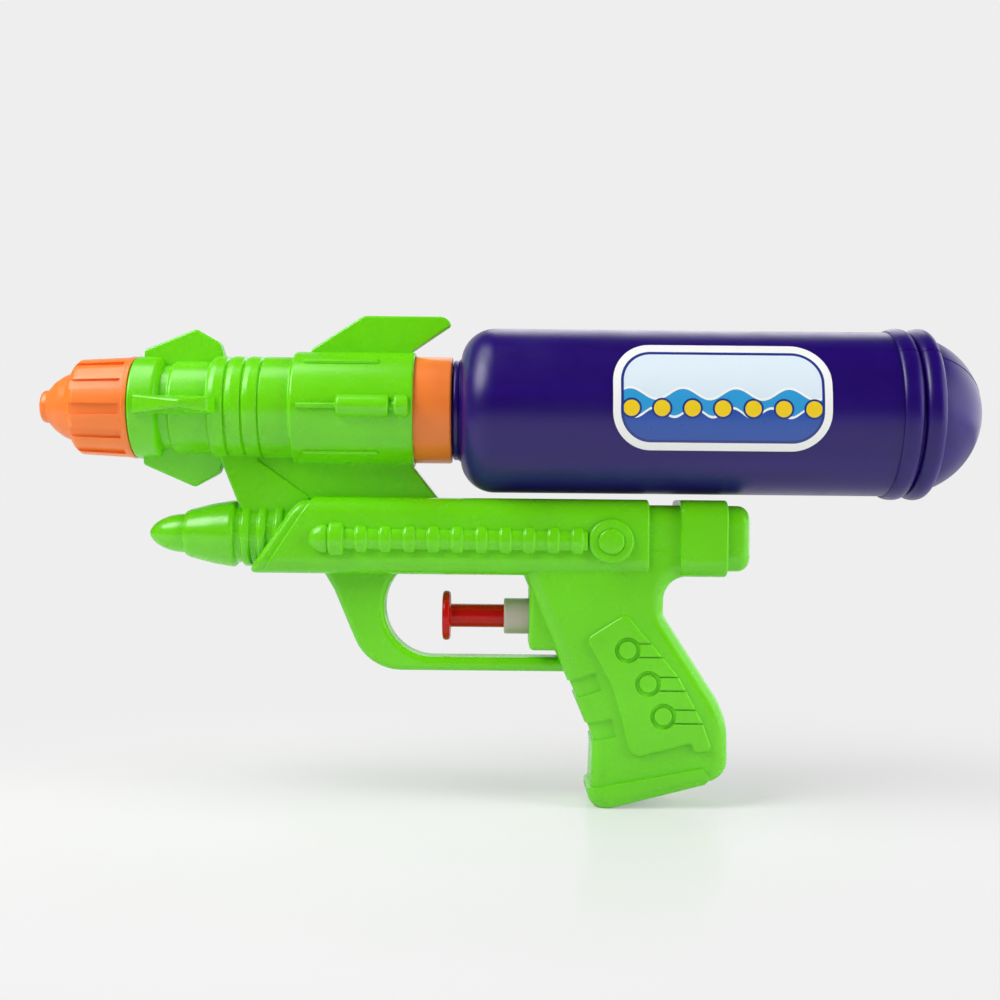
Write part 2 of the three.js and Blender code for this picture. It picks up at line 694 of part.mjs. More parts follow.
function rearFin() {
  const root = SLEEVE_RADIUS - WALL / 2;
  const crest = SLEEVE_RADIUS + REAR_FIN_HEIGHT;
  const geometry = fin([
    [barrelRearX - REAR_FIN_FRONT, root],
    [barrelRearX - RING_EDGE, root],
    [barrelRearX - RING_EDGE, SLEEVE_RADIUS + REAR_FIN_HEEL_HEIGHT],
    [barrelRearX + REAR_FIN_TIP_BACK, SLEEVE_RADIUS + REAR_FIN_TIP_HEIGHT],
    [barrelRearX + REAR_FIN_CREST_BACK, crest],
    [barrelRearX - REAR_FIN_CREST_FRONT, crest],
    [barrelRearX - REAR_FIN_FRONT, SLEEVE_RADIUS + REAR_FIN_HEEL_HEIGHT],
  ], SLEEVE_RADIUS, crest, REAR_FIN_ROOT_THICKNESS, REAR_FIN_TIP_THICKNESS);
  geometry.translate(0, 0, barrelZ);
  return toSolid(geometry);
}

// Rod, bar and block at the axis height, and two thin ribs, on one side of the sleeve
function sleeveMouldings(side) {
  const y = side * SLEEVE_RADIUS;
  const rodX = barrelRearX - SLEEVE_ROD_FRONT;
  const barX = rodX + SLEEVE_ROD_LENGTH;
  const blockX = barrelRearX - SLEEVE_BLOCK_FRONT;
  const turnedForms = [
    turned(rodProfile(rodX, barX + SINK, SLEEVE_ROD_RADIUS), HOLE_SIDES, barrelZ, y),
    turned([
      [barX, 0],
      [barX, SLEEVE_BAR_RADIUS - RING_EDGE],
      [barX + RING_EDGE, SLEEVE_BAR_RADIUS],
      [barX + SLEEVE_BAR_LENGTH - RING_EDGE, SLEEVE_BAR_RADIUS],
      [barX + SLEEVE_BAR_LENGTH, SLEEVE_BAR_RADIUS - RING_EDGE],
      [barX + SLEEVE_BAR_LENGTH, 0],
    ], HOLE_SIDES, barrelZ, y),
    turned(rodProfile(blockX, blockX + SLEEVE_BLOCK_LENGTH, SLEEVE_BAR_RADIUS), HOLE_SIDES, barrelZ, y),
  ];
  const ribs = [-1, 1].map((upDown) => {
    const rise = SLEEVE_RADIUS + SLEEVE_RIB_RAISE;
    const geometry = new THREE.BoxGeometry(SLEEVE_RIB_LENGTH, SLEEVE_RIB_WIDTH, 2 * SINK);
    geometry.translate(rodX + SLEEVE_RIB_LENGTH / 2, 0, rise - SINK);
    geometry.rotateX(-side * THREE.MathUtils.degToRad(90 - upDown * SLEEVE_RIB_ANGLE));
    geometry.translate(0, 0, barrelZ);
    return toSolid(geometry);
  });
  return joined([...turnedForms, ...ribs]);
}

function webForm() {
  const topZ = barrelZ - GROOVE_RADIUS + SINK;
  const footZ = RECEIVER_AXIS_Z;
  const front = plate([
    [barrelFrontX + WEB_TOP_FRONT, barrelZ - STEP_RADIUS],
    [receiverFrontX - WEB_FOOT_FRONT, receiverTop - WEB_FOOT_DROP],
    [receiverFrontX - NOSE_RING_PITCH, footZ],
    [receiverFrontX + SINK, footZ],
    [barrelRearX - WEB_STEP_FOOT, receiverTop],
    [barrelRearX - WEB_STEP_TOP, barrelZ - PLAIN_RADIUS],
    [barrelRearX - WEB_STEP_TOP, topZ],
    [barrelFrontX + WEB_TOP_FRONT, topZ],
  ], WEB_FRONT_WIDTH);
  const rear = plate([
    [barrelRearX - WEB_STEP_TOP - SINK, topZ],
    [receiverFrontX + SINK, footZ],
    [barrelRearX + WEB_FOOT_REAR, footZ],
    [barrelRearX + WEB_FOOT_REAR, receiverTop],
    [barrelRearX - WEB_TOP_REAR, barrelZ - SLEEVE_RADIUS],
    [barrelRearX - WEB_TOP_REAR, barrelZ - SLEEVE_RADIUS + WALL / 2],
    [barrelRearX - SLEEVE_RADIUS, topZ],
  ], WEB_REAR_WIDTH);
  return front.add(rear);
}

// A slab between two lines that lean like the receiver's front
function leaningSlab(fromX, length, shift = 0) {
  const slope = RECEIVER_LEAN / RECEIVER_HEIGHT;
  const rise = RECEIVER_HEIGHT / 2 + OVERSHOOT;
  const topX = fromX + shift + OVERSHOOT * slope;
  const bottomX = fromX + shift - RECEIVER_LEAN - OVERSHOOT * slope;
  return plate([
    [bottomX, RECEIVER_AXIS_Z - rise],
    [fromX + length, RECEIVER_AXIS_Z - rise],
    [fromX + length, RECEIVER_AXIS_Z + rise],
    [topX, RECEIVER_AXIS_Z + rise],
  ], WIDE);
}

function receiverBar(grow, fromX, toX) {
  return roundedBar(
    fromX,
    toX,
    RECEIVER_WIDTH + 2 * grow,
    RECEIVER_HEIGHT + 2 * grow,
    RECEIVER_CORNER + grow,
    RECEIVER_AXIS_Z,
  );
}

function receiverForm() {
  const startX = receiverFrontX - RECEIVER_LEAN - OVERSHOOT;
  const sides = receiverBar(0, startX, RECEIVER_REAR_X)
    .intersect(leaningSlab(receiverFrontX, WIDE, LIP_LENGTH));
  const lip = receiverBar(-LIP_STEP, startX, RECEIVER_REAR_X - WALL)
    .intersect(leaningSlab(receiverFrontX, WIDE));
  return sides.add(lip);
}

function tailForm() {
  const neckEnd = RECEIVER_REAR_X + TAIL_NECK_LENGTH;
  const blockEnd = neckEnd + TAIL_BLOCK_LENGTH;
  const capEnd = blockEnd + TAIL_CAP_LENGTH;
  const neckBar = roundedBar(
    RECEIVER_REAR_X - SINK,
    capEnd,
    RECEIVER_WIDTH - 2 * TAIL_INSET,
    RECEIVER_HEIGHT - 2 * TAIL_INSET,
    RECEIVER_CORNER,
    RECEIVER_AXIS_Z,
    TAIL_CAP_ROUND,
  );
  return neckBar.add(receiverBar(0, neckEnd, blockEnd));
}

function noseForm() {
  const tipX = receiverFrontX - NOSE_LENGTH;
  const shoulderStart = tipX + NOSE_TIP_LENGTH;
  const coneStart = shoulderStart + NOSE_SHOULDER_LENGTH;
  const coneEnd = coneStart + NOSE_CONE_LENGTH;
  const rings = [];
  for (let i = 0; i < NOSE_RING_COUNT; i++) {
    const end = coneEnd + (i + 1) * NOSE_RING_PITCH;
    const start = end - NOSE_RING_WIDTH;
    rings.push([start, NOSE_RADIUS - NOSE_GROOVE_DEPTH], [start, NOSE_RADIUS]);
    rings.push([end, NOSE_RADIUS], [end, NOSE_RADIUS - NOSE_GROOVE_DEPTH]);
  }
  const last = receiverFrontX + SINK;
  return turned([
    ...roundedEnd(tipX, NOSE_TIP_LENGTH, NOSE_TIP_RADIUS, ROUND_STEPS),
    [coneStart, NOSE_SHOULDER_RADIUS],
    [coneEnd, NOSE_RADIUS],
    [coneEnd, NOSE_RADIUS - NOSE_GROOVE_DEPTH],
    ...rings,
    [last, NOSE_RADIUS - NOSE_GROOVE_DEPTH],
    [last, 0],
  ], SMALL_SIDES, RECEIVER_AXIS_Z);
}

// Half-round moulding with beads, and the round boss behind it, on one side of the receiver
function receiverMoulding(side) {
  const domeX0 = receiverFrontX + MOULDING_START;
  const bandX = domeX0 + MOULDING_DOME_LENGTH;
  const barX = bandX + MOULDING_BAND_LENGTH;
  const barEnd = barX + MOULDING_BAR_LENGTH;
  const profile = [
    ...roundedEnd(domeX0, MOULDING_DOME_LENGTH, MOULDING_DOME_RADIUS, ROUND_STEPS - 1),
    [bandX, MOULDING_BAND_RADIUS],
    [barX, MOULDING_BAND_RADIUS],
    [barX, MOULDING_BAR_RADIUS],
  ];
  const shoulder = BEAD_RADIUS - MOULDING_BAR_RADIUS;
  for (let i = 0; i < BEAD_COUNT; i++) {
    const start = barX + BEAD_START + i * BEAD_PITCH;
    const end = start + BEAD_WIDTH;
    profile.push([start, MOULDING_BAR_RADIUS], [start + shoulder, BEAD_RADIUS]);
    profile.push([end - shoulder, BEAD_RADIUS], [end, MOULDING_BAR_RADIUS]);
  }
  profile.push([barEnd, MOULDING_BAR_RADIUS], [barEnd, 0]);
  const points = profile.map(([x, radius]) => new THREE.Vector2(radius, x));
  const geometry = new THREE.LatheGeometry(points, MOULDING_SIDES);
  geometry.rotateZ(-Math.PI / 2);
  geometry.scale(1, MOULDING_FLATNESS, 1);
  const z = RECEIVER_AXIS_Z - MOULDING_DROP;
  geometry.translate(0, (side * RECEIVER_WIDTH) / 2, z);
  const face = RECEIVER_WIDTH / 2;
  const buttonX = barEnd + BUTTON_GAP + BUTTON_RADIUS;
  const across = (radius, raise) => {
    const ends = [side * (face - SINK), side * (face + raise)].sort((a, b) => a - b);
    return crossBar(buttonX, z, radius, ...ends);
  };
  const button = across(BUTTON_RADIUS, BUTTON_RAISE);
  const disc = across(BUTTON_DISC_RADIUS, BUTTON_RAISE + BUTTON_DISC_RAISE);
  return joined([toSolid(geometry), button, disc]);
}

function guardOutline() {
  const bowZ = receiverBottom - GUARD_BOW_DROP;
  const barTop = bowZ - GUARD_BOW_RADIUS;
  const barBottom = barTop - GUARD_BAR_HEIGHT;
  const insideGrip = GRIP_FRONT_BEND[0];
  const rootZ = receiverBottom + SINK + GUARD_EDGE;
  const topAngle = 180 - THREE.MathUtils.radToDeg(Math.asin(GUARD_BOW_DROP / GUARD_BOW_RADIUS));
  const bow = arc(GUARD_BOW_X, bowZ, GUARD_BOW_RADIUS, 270, topAngle, 8);
  const innerTopX = bow.at(-1)[0];
  const outerTopX = innerTopX - GUARD_TOP_DEPTH;
  const outer = filleted([
    [outerTopX - GUARD_ROOT_FLARE, rootZ, 0],
    [outerTopX - GUARD_ROOT_FLARE, receiverBottom, 0],
    [outerTopX + GUARD_ROOT_FLARE / 2, receiverBottom - GUARD_ROOT_RISE, 0],
    [GUARD_FOOT_X, barBottom, GUARD_FOOT_ROUND],
    [insideGrip, barBottom, 0],
  ], 5);
  return [...outer, [insideGrip, barTop], ...bow, [innerTopX, rootZ]];
}

function gripOutline() {
  const topZ = RECEIVER_AXIS_Z;
  const hollowX = GRIP_HOLLOW_FOOT[0];
  const rearTopX = hollowX + GRIP_HOLLOW_ROUND + SINK;
  return filleted([
    [GRIP_FRONT_TOP[0], topZ, 0],
    GRIP_FRONT_TOP,
    GRIP_FRONT_BEND,
    GRIP_TOE,
    GRIP_HEEL,
    GRIP_BACK_BEND,
    GRIP_HOLLOW_FOOT,
    [hollowX, receiverBottom, GRIP_HOLLOW_ROUND],
    [rearTopX, receiverBottom, 0],
    [rearTopX, topZ, 0],
  ]);
}

function gripForm() {
  const raised = GRIP_WIDTH + 2 * PANEL_RAISE;
  const recesses = RECESS_PLACES.flatMap(([x, z, turn]) => [-1, 1].map((side) => {
    const depth = RECESS_DEPTH + SINK;
    const geometry = new THREE.BoxGeometry(RECESS_LENGTH, depth, RECESS_HEIGHT);
    geometry.rotateY(THREE.MathUtils.degToRad(-turn));
    geometry.translate(x, side * (GRIP_WIDTH / 2 - RECESS_DEPTH + depth / 2), z);
    return toSolid(geometry);
  }));
  const body = cut(plate(gripOutline(), GRIP_WIDTH, GRIP_EDGE, 3), recesses);
  const plates = [PANEL, FOOT_PLATE].map((corners) => plate(filleted(corners), raised, PANEL_RAISE, 1));
  return joined([body, ...plates]);
}

function pumpBlockForm() {
  const backX = PUMP_BLOCK_FRONT_X + PUMP_BLOCK_DEPTH;
  const bottomZ = pumpZ - PUMP_BLOCK_UNDER;
  return plate([
    [PUMP_BLOCK_FRONT_X, bottomZ],
    [backX, bottomZ],
    [backX, receiverBottom + SINK],
    [PUMP_BLOCK_FRONT_X, receiverBottom + SINK],
  ], PUMP_BLOCK_WIDTH, PUMP_BLOCK_EDGE, 1);
}

const outerForm = joined([
  barrelForm(),
  frontFins(),
  rearFin(),
  sleeveMouldings(-1),
  sleeveMouldings(1),
  webForm(),
  receiverForm(),
  tailForm(),
  noseForm(),
  receiverMoulding(-1),
  receiverMoulding(1),
  plate(guardOutline(), GUARD_WIDTH, GUARD_EDGE),
  gripForm(),
  pumpBlockForm(),
]);

// The hollow inside the casing

const collarRibRearX = barrelRearX - COLLAR_INSERT - SEAT_GAP;
const collarRibFrontX = collarRibRearX - COLLAR_RIB_WIDTH;
const jetWallX = barrelFrontX + JET_WALL_BACK;

function barrelHollow() {
  const end = barrelRearX + OVERSHOOT;
  const slim = GROOVE_RADIUS - WALL;
  const wide = PLAIN_RADIUS - WALL;
  const sleeve = SLEEVE_RADIUS - WALL;
  const hold = COLLAR_HOLD_RADIUS + SEAT_GAP;
  const spigot = CAP_SPIGOT_RADIUS + RUNNING_GAP;
  const jet = JET_RADIUS + SEAT_GAP;
  return turned([
    [barrelFrontX - OVERSHOOT, 0],
    [barrelFrontX - OVERSHOOT, spigot],
    [barrelFrontX + FRONT_WALL, spigot],
    [barrelFrontX + FRONT_WALL, slim],
    [jetWallX, slim],
    [jetWallX, jet],
    [jetWallX + JET_WALL_WIDTH, jet],
    [jetWallX + JET_WALL_WIDTH, slim],
    [ribsFrontX + WALL, slim],
    [ribsFrontX + WALL, wide],
    [sleeveFrontX + WALL, wide],
    [sleeveFrontX + WALL, sleeve],
    [collarRibFrontX, sleeve],
    [collarRibFrontX, hold],
    [collarRibRearX, hold],
    [collarRibRearX, COLLAR_RADIUS + SEAT_GAP],
    [end, COLLAR_RADIUS + SEAT_GAP],
    [end, 0],
  ], BARREL_SIDES, barrelZ);
}

// Upright channel for a hose through the web, from the receiver's hollow to the barrel's
function hoseChannel(x, bendRoom = 0) {
  const half = HOSE_RADIUS + HOSE_CHANNEL_GAP;
  return box(x - half, x + half + bendRoom, -half, half, RECEIVER_AXIS_Z, barrelZ);
}

function receiverHollow() {
  const startX = receiverFrontX - RECEIVER_LEAN - OVERSHOOT;
  const main = receiverBar(-WALL, startX, RECEIVER_REAR_X - WALL);
  const tailEnd = RECEIVER_REAR_X + TAIL_NECK_LENGTH + TAIL_BLOCK_LENGTH + TAIL_CAP_LENGTH - WALL;
  const tail = roundedBar(
    RECEIVER_REAR_X - 2 * WALL,
    tailEnd,
    RECEIVER_WIDTH - 2 * TAIL_INSET - 2 * WALL,
    RECEIVER_HEIGHT - 2 * TAIL_INSET - 2 * WALL,
    RECEIVER_CORNER - WALL,
    RECEIVER_AXIS_Z,
    TAIL_CAP_ROUND - WALL,
  );
  return main.intersect(leaningSlab(receiverFrontX, WIDE, RECEIVER_FRONT_WALL)).add(tail);
}

function noseHollow() {
  const tipX = receiverFrontX - NOSE_LENGTH;
  const coneX = tipX + NOSE_TIP_LENGTH + NOSE_SHOULDER_LENGTH + NOSE_TIP_WALL;
  return turned([
    [tipX + NOSE_TIP_WALL, 0],
    [tipX + NOSE_TIP_WALL, NOSE_TIP_BORE],
    [coneX - WALL, NOSE_TIP_RADIUS - WALL],
    [coneX, NOSE_BORE_RADIUS],
    [receiverFrontX + SINK, NOSE_BORE_RADIUS],
    [receiverFrontX + SINK, 0],
  ], SMALL_SIDES, RECEIVER_AXIS_Z);
}

function pumpHollow() {
  const bore = CYLINDER_RADIUS + SEAT_GAP;
  const grooveX = PUMP_BLOCK_FRONT_X + CYLINDER_FLANGE_BACK;
  const hollowX = PUMP_BLOCK_FRONT_X + PUMP_BLOCK_DEPTH + OVERSHOOT;
  return joined([
    turned(rodProfile(PUMP_BLOCK_FRONT_X - OVERSHOOT, hollowX, bore), SMALL_SIDES, pumpZ),
    turned(
      rodProfile(
        grooveX - SEAT_GAP,
        grooveX + CYLINDER_FLANGE_WIDTH + SEAT_GAP,
        CYLINDER_FLANGE_RADIUS + SEAT_GAP,
      ),
      SMALL_SIDES,
      pumpZ,
    ),
  ]);
}

const hollow = joined([
  barrelHollow(),
  hoseChannel(inletRiserX, HOSE_BEND / 2),
  hoseChannel(outletRiserX),
  receiverHollow(),
  noseHollow(),
  plate(inset(gripOutline(), WALL), GRIP_WIDTH - 2 * WALL),
  pumpHollow(),
]);

// Screws and the posts that they join

const screwPlaces = [
  [(plainFrontX + sleeveFrontX) / 2, barrelZ + BARREL_SCREW_RISE],
  [barrelRearX - SLEEVE_SCREW_FRONT, barrelZ + BARREL_SCREW_RISE],
  [receiverFrontX + RECEIVER_SCREW_BACK, RECEIVER_AXIS_Z - RECEIVER_SCREW_DROP],
  [RECEIVER_REAR_X + TAIL_NECK_LENGTH + TAIL_BLOCK_LENGTH / 2, RECEIVER_AXIS_Z],
  ...GRIP_SCREWS,
];

function posts() {
  return joined(screwPlaces.map(([x, z]) => crossBar(x, z, BOSS_RADIUS, -WIDE / 2, WIDE / 2)));
}

const casing = outerForm.subtract(hollow).add(posts().intersect(outerForm));

// One half of the casing: side -1 is the photographed side, which takes the screw threads
function casingHalf(side) {
  const ends = [(side * SEAM_GAP) / 2, side * WIDE].sort((a, b) => a - b);
  const half = casing.intersect(box(-WIDE, WIDE, ...ends, -WIDE, WIDE));
  const shank = SCREW_SHANK + SEAT_GAP / 2;
  const holes = screwPlaces.flatMap(([x, z]) => {
    if (side < 0) return [crossBar(x, z, shank, SCREW_SEAT_Y - SCREW_LENGTH - OVERSHOOT, OVERSHOOT)];
    return [
      crossBar(x, z, shank, -OVERSHOOT, SCREW_SEAT_Y + OVERSHOOT),
      crossBar(x, z, SCREW_HEAD_RADIUS + SEAT_GAP, SCREW_SEAT_Y, WIDE / 2),
    ];
  });
  return cut(half, holes);
}

function caseScrew([x, z]) {
  const seat = SCREW_SEAT_Y + SEAT_GAP / 2;
  const points = [
    [seat - SCREW_LENGTH, 0],
    [seat - SCREW_LENGTH + SCREW_SHANK, SCREW_SHANK],
    [seat, SCREW_SHANK],
    [seat, SCREW_HEAD_RADIUS],
    [seat + SCREW_HEAD_HEIGHT / 2, SCREW_HEAD_RADIUS],
    [seat + SCREW_HEAD_HEIGHT, SCREW_HEAD_RADIUS / 2],
    [seat + SCREW_HEAD_HEIGHT, 0],
  ].map(([y, radius]) => new THREE.Vector2(radius, y));
  const body = toSolid(new THREE.LatheGeometry(points, HOLE_SIDES).translate(x, 0, z));
  const long = SCREW_SLOT_LENGTH / 2;
  const thin = SCREW_SLOT_WIDTH / 2;
  const top = seat + SCREW_HEAD_HEIGHT;
  const slots = [[long, thin], [thin, long]].map(([dx, dz]) => (
    box(x - dx, x + dx, top - SCREW_SLOT_DEPTH, top + OVERSHOOT, z - dz, z + dz)
  ));
  return cut(body, slots);
}

// Nozzle cap, which turns on the barrel's front wall

const capRearX = barrelFrontX - RUNNING_GAP;
const fluteRearX = capRearX - CAP_RING_LENGTH;
const fluteFrontX = fluteRearX - FLUTED_LENGTH;
const ogiveRearX = fluteFrontX - CAP_CONE_LENGTH;
const ogiveFrontX = ogiveRearX - OGIVE_LENGTH;
const capTipX = ogiveFrontX - TIP_LENGTH;
const jetBore = JET_RADIUS + RUNNING_GAP;

function nozzleCap() {
  const flangeX = barrelFrontX + FRONT_WALL + RUNNING_GAP;
  const ogive = Array.from({ length: ROUND_STEPS }, (_, i) => {
    const share = i / (ROUND_STEPS - 1);
    const rise = (OGIVE_RADIUS - TIP_RADIUS) * Math.sin((share * Math.PI) / 2);
    return [ogiveFrontX + OGIVE_LENGTH * share, TIP_RADIUS + rise];
  });
  const body = turned([
    [capTipX, CAP_HOLE_RADIUS],
    [capTipX, TIP_RADIUS - TIP_LENGTH / 2],
    [capTipX + TIP_LENGTH / 2, TIP_RADIUS],
    ...ogive,
    [fluteFrontX, FLUTED_FRONT_RADIUS],
    [fluteRearX, FLUTED_REAR_RADIUS],
    [fluteRearX, CAP_RADIUS],
    [capRearX, CAP_RADIUS],
    [capRearX, CAP_SPIGOT_RADIUS],
    [flangeX, CAP_SPIGOT_RADIUS],
    [flangeX, CAP_FLANGE_RADIUS],
    [flangeX + CAP_FLANGE_WIDTH, CAP_FLANGE_RADIUS],
    [flangeX + CAP_FLANGE_WIDTH, jetBore],
    [capTipX + JET_RECESS, jetBore],
    [capTipX + JET_RECESS, CAP_HOLE_RADIUS],
    [capTipX, CAP_HOLE_RADIUS],
  ], 2 * FLUTE_COUNT, barrelZ);
  const core = turned(
    ringProfile(
      capRearX - CAP_CORE_DEPTH,
      capRearX + RUNNING_GAP,
      FLUTED_FRONT_RADIUS - FLUTE_DEPTH - CAP_CORE_WALL,
      CAP_SPIGOT_RADIUS,
    ),
    2 * FLUTE_COUNT,
    barrelZ,
  );
  const flutes = [];
  const lean = Math.atan2(FLUTED_REAR_RADIUS - FLUTED_FRONT_RADIUS, FLUTED_LENGTH);
  for (let i = 0; i < FLUTE_COUNT; i++) {
    const length = FLUTED_LENGTH + CAP_CONE_LENGTH;
    const geometry = new THREE.CylinderGeometry(FLUTE_RADIUS, FLUTE_RADIUS, length, MOULDING_SIDES);
    geometry.rotateZ(-Math.PI / 2 - lean);
    const middle = (FLUTED_FRONT_RADIUS + FLUTED_REAR_RADIUS) / 2;
    geometry.translate(fluteRearX - length / 2, 0, middle + FLUTE_RADIUS - FLUTE_DEPTH);
    geometry.rotateX((2 * Math.PI * i) / FLUTE_COUNT);
    geometry.translate(0, 0, barrelZ);
    flutes.push(toSolid(geometry));
  }
  return cut(body, [core, ...flutes]);
}

const jetFrontX = capTipX + JET_RECESS + SEAT_GAP;
const jetRearX = jetWallX + JET_WALL_WIDTH + SEAT_GAP + JET_FLANGE_WIDTH + JET_TAIL;

function jetPipe() {
  const frontFlange = jetWallX - SEAT_GAP;
  const rearFlange = jetWallX + JET_WALL_WIDTH + SEAT_GAP;
  return turned([
    [jetFrontX, JET_HOLE_RADIUS],
    [jetFrontX, JET_RADIUS],
    [frontFlange - JET_FLANGE_WIDTH, JET_RADIUS],
    [frontFlange - JET_FLANGE_WIDTH, JET_FLANGE_RADIUS],
    [frontFlange, JET_FLANGE_RADIUS],
    [frontFlange, JET_RADIUS],
    [rearFlange, JET_RADIUS],
    [rearFlange, JET_FLANGE_RADIUS],
    [rearFlange + JET_FLANGE_WIDTH, JET_FLANGE_RADIUS],
    [rearFlange + JET_FLANGE_WIDTH, JET_RADIUS],
    [jetRearX, JET_RADIUS],
    [jetRearX, nippleRadius],
    [jetRearX + NIPPLE_LENGTH, nippleRadius],
    [jetRearX + NIPPLE_LENGTH, JET_HOLE_RADIUS],
    [jetFrontX, JET_HOLE_RADIUS],
  ], HOLE_SIDES, barrelZ);
}

// Tank with its threaded neck

// The shoulder's rounding at a depth inside the tank's outer face
function shoulderRound(depth) {
  const radius = TANK_SHOULDER_ROUND - depth;
  return Array.from({ length: ROUND_STEPS + 1 }, (_, i) => {
    const angle = (i / ROUND_STEPS) * (Math.PI / 2);
    return [
      shoulderX + TANK_SHOULDER_ROUND - radius * Math.cos(angle),
      TANK_RADIUS - TANK_SHOULDER_ROUND + radius * Math.sin(angle),
    ];
  });
}

function tankOuterProfile() {
  const rings = [0, 1].flatMap((i) => {
    const middle = ringX + i * TANK_RING_PITCH;
    const half = TANK_RING_WIDTH / 2;
    const crest = TANK_RADIUS + TANK_RING_RAISE;
    return [
      [middle - half, TANK_RADIUS - i * TANK_RING_RAISE],
      [middle - half / 2, crest],
      [middle + half / 2, crest],
      [middle + half, TANK_RADIUS - TANK_RING_RAISE],
    ];
  });
  const domeStart = ringX + TANK_RING_PITCH + TANK_RING_WIDTH / 2 - domeX;
  const startAngle = Math.asin(domeStart / domeRadius);
  const dome = [];
  for (let i = 0; i <= DOME_STEPS; i++) {
    const angle = THREE.MathUtils.lerp(startAngle, Math.PI / 2, i / DOME_STEPS);
    const radius = i < DOME_STEPS ? domeRadius * Math.cos(angle) : 0;
    dome.push([domeX + domeRadius * Math.sin(angle), radius]);
  }
  return [...shoulderRound(0), ...rings, ...dome];
}

function tank() {
  const bore = NECK_RADIUS - NECK_WALL;
  const innerDome = domeRadius - TANK_WALL;
  const beadMid = NECK_BEAD_WIDTH / 2;
  const body = turned([
    [neckMouthX, 0],
    [neckMouthX, NECK_RADIUS],
    [neckBeadX, NECK_RADIUS],
    [neckBeadX + beadMid / 2, NECK_BEAD_RADIUS],
    [shoulderX - beadMid / 2, NECK_BEAD_RADIUS],
    [shoulderX, TANK_RADIUS - TANK_SHOULDER_ROUND - TANK_WALL / 2],
    ...tankOuterProfile(),
  ], TANK_SIDES, barrelZ);
  const space = [
    [neckMouthX - OVERSHOOT, 0],
    [neckMouthX - OVERSHOOT, bore],
    [shoulderX + TANK_WALL, bore],
    ...shoulderRound(TANK_WALL),
    [ringX, TANK_RADIUS - TANK_WALL],
  ];
  for (let i = 1; i <= DOME_STEPS; i++) {
    const angle = (i / DOME_STEPS) * (Math.PI / 2);
    space.push([domeX + innerDome * Math.sin(angle), i < DOME_STEPS ? innerDome * Math.cos(angle) : 0]);
  }
  const thread = threadRidge(neckMouthX + THREAD_LEAD_IN, NECK_RADIUS + THREAD_RADIUS - THREAD_SINK);
  return body.add(thread).subtract(turned(space, TANK_SIDES, barrelZ));
}

// A rounded screw thread about the barrel's axis
function threadRidge(startX, radius) {
  const coil = new Coil(startX, THREAD_PITCH, THREAD_TURNS, radius);
  const ridge = tubeAlong(coil, THREAD_STEPS * THREAD_TURNS, THREAD_RADIUS, WIRE_SIDES);
  return ridge.translate([0, 0, barrelZ]);
}

function tankGasket() {
  const outer = NECK_RADIUS;
  const ring = ringProfile(gasketX, gasketX + GASKET_THICKNESS, outer, outer - GASKET_WIDTH);
  return turned(ring, TANK_SIDES, barrelZ);
}

const collarBore = NECK_RADIUS + 2 * THREAD_RADIUS - THREAD_SINK + THREAD_BORE_GAP;
const collarFrontX = collarRibFrontX - SEAT_GAP - COLLAR_FLANGE_WIDTH;

function tankCollar() {
  const dipHole = DIP_RADIUS + SEAT_GAP;
  const body = turned([
    [collarFrontX - NIPPLE_LENGTH, NIPPLE_BORE],
    [collarFrontX - NIPPLE_LENGTH, nippleRadius],
    [collarFrontX, nippleRadius],
    [collarFrontX, COLLAR_FLANGE_RADIUS],
    [collarFrontX + COLLAR_FLANGE_WIDTH, COLLAR_FLANGE_RADIUS],
    [collarFrontX + COLLAR_FLANGE_WIDTH, COLLAR_HOLD_RADIUS],
    [collarRibRearX + SEAT_GAP, COLLAR_HOLD_RADIUS],
    [collarRibRearX + SEAT_GAP, COLLAR_RADIUS],
    [collarRearX - RING_EDGE, COLLAR_RADIUS],
    [collarRearX, COLLAR_RADIUS - RING_EDGE],
    [collarRearX, collarBore],
    [collarFloorX, collarBore],
    [collarFloorX, dipHole],
    [collarFloorX - DIP_SOCKET, dipHole],
    [collarFloorX - DIP_SOCKET, NIPPLE_BORE],
    [collarFrontX - NIPPLE_LENGTH, NIPPLE_BORE],
  ], TANK_SIDES, barrelZ);
  const startX = neckMouthX + THREAD_LEAD_IN + THREAD_PITCH / 2;
  return body.add(threadRidge(startX, collarBore - THREAD_RADIUS + THREAD_SINK));
}

function dipTube() {
  const start = SEAT_GAP - DIP_SOCKET;
  const end = domeX + domeRadius - TANK_WALL - DIP_END_GAP - collarFloorX;
  const straight = turned(ringProfile(start, end, DIP_RADIUS, DIP_BORE), HOLE_SIDES, 0);
  const sockets = turned(ringProfile(start, SEAT_GAP, DIP_RADIUS, DIP_BORE), HOLE_SIDES, 0);
  const leaning = straight.rotate([0, DIP_SAG, 0]);
  const kept = leaning.intersect(box(0, WIDE, -WIDE, WIDE, -WIDE, WIDE));
  return kept.add(sockets).translate([collarFloorX, 0, barrelZ]);
}

function tankSticker() {
  const inner = TANK_RADIUS + STICKER_GAP;
  const skin = turned(
    ringProfile(
      stickerX - STICKER_LENGTH,
      stickerX + STICKER_LENGTH,
      inner + STICKER_THICKNESS,
      inner,
    ),
    TANK_SIDES,
    barrelZ,
  );
  const x = STICKER_LENGTH / 2 - STICKER_CORNER;
  const z = STICKER_HEIGHT / 2 - STICKER_CORNER;
  const corners = [[x, z, 0], [-x, z, 1], [-x, -z, 2], [x, -z, 3]];
  const outline = corners.flatMap(([cx, cz, quarter]) => arc(
    stickerX + cx,
    barrelZ + STICKER_LIFT + cz,
    STICKER_CORNER,
    90 * quarter,
    90 * (quarter + 1),
    ROUND_STEPS - 1,
  ));
  const nearSide = box(-WIDE, WIDE, -WIDE, 0, -WIDE, WIDE);
  return skin.intersect(plate(outline, WIDE)).intersect(nearSide);
}

// Pump

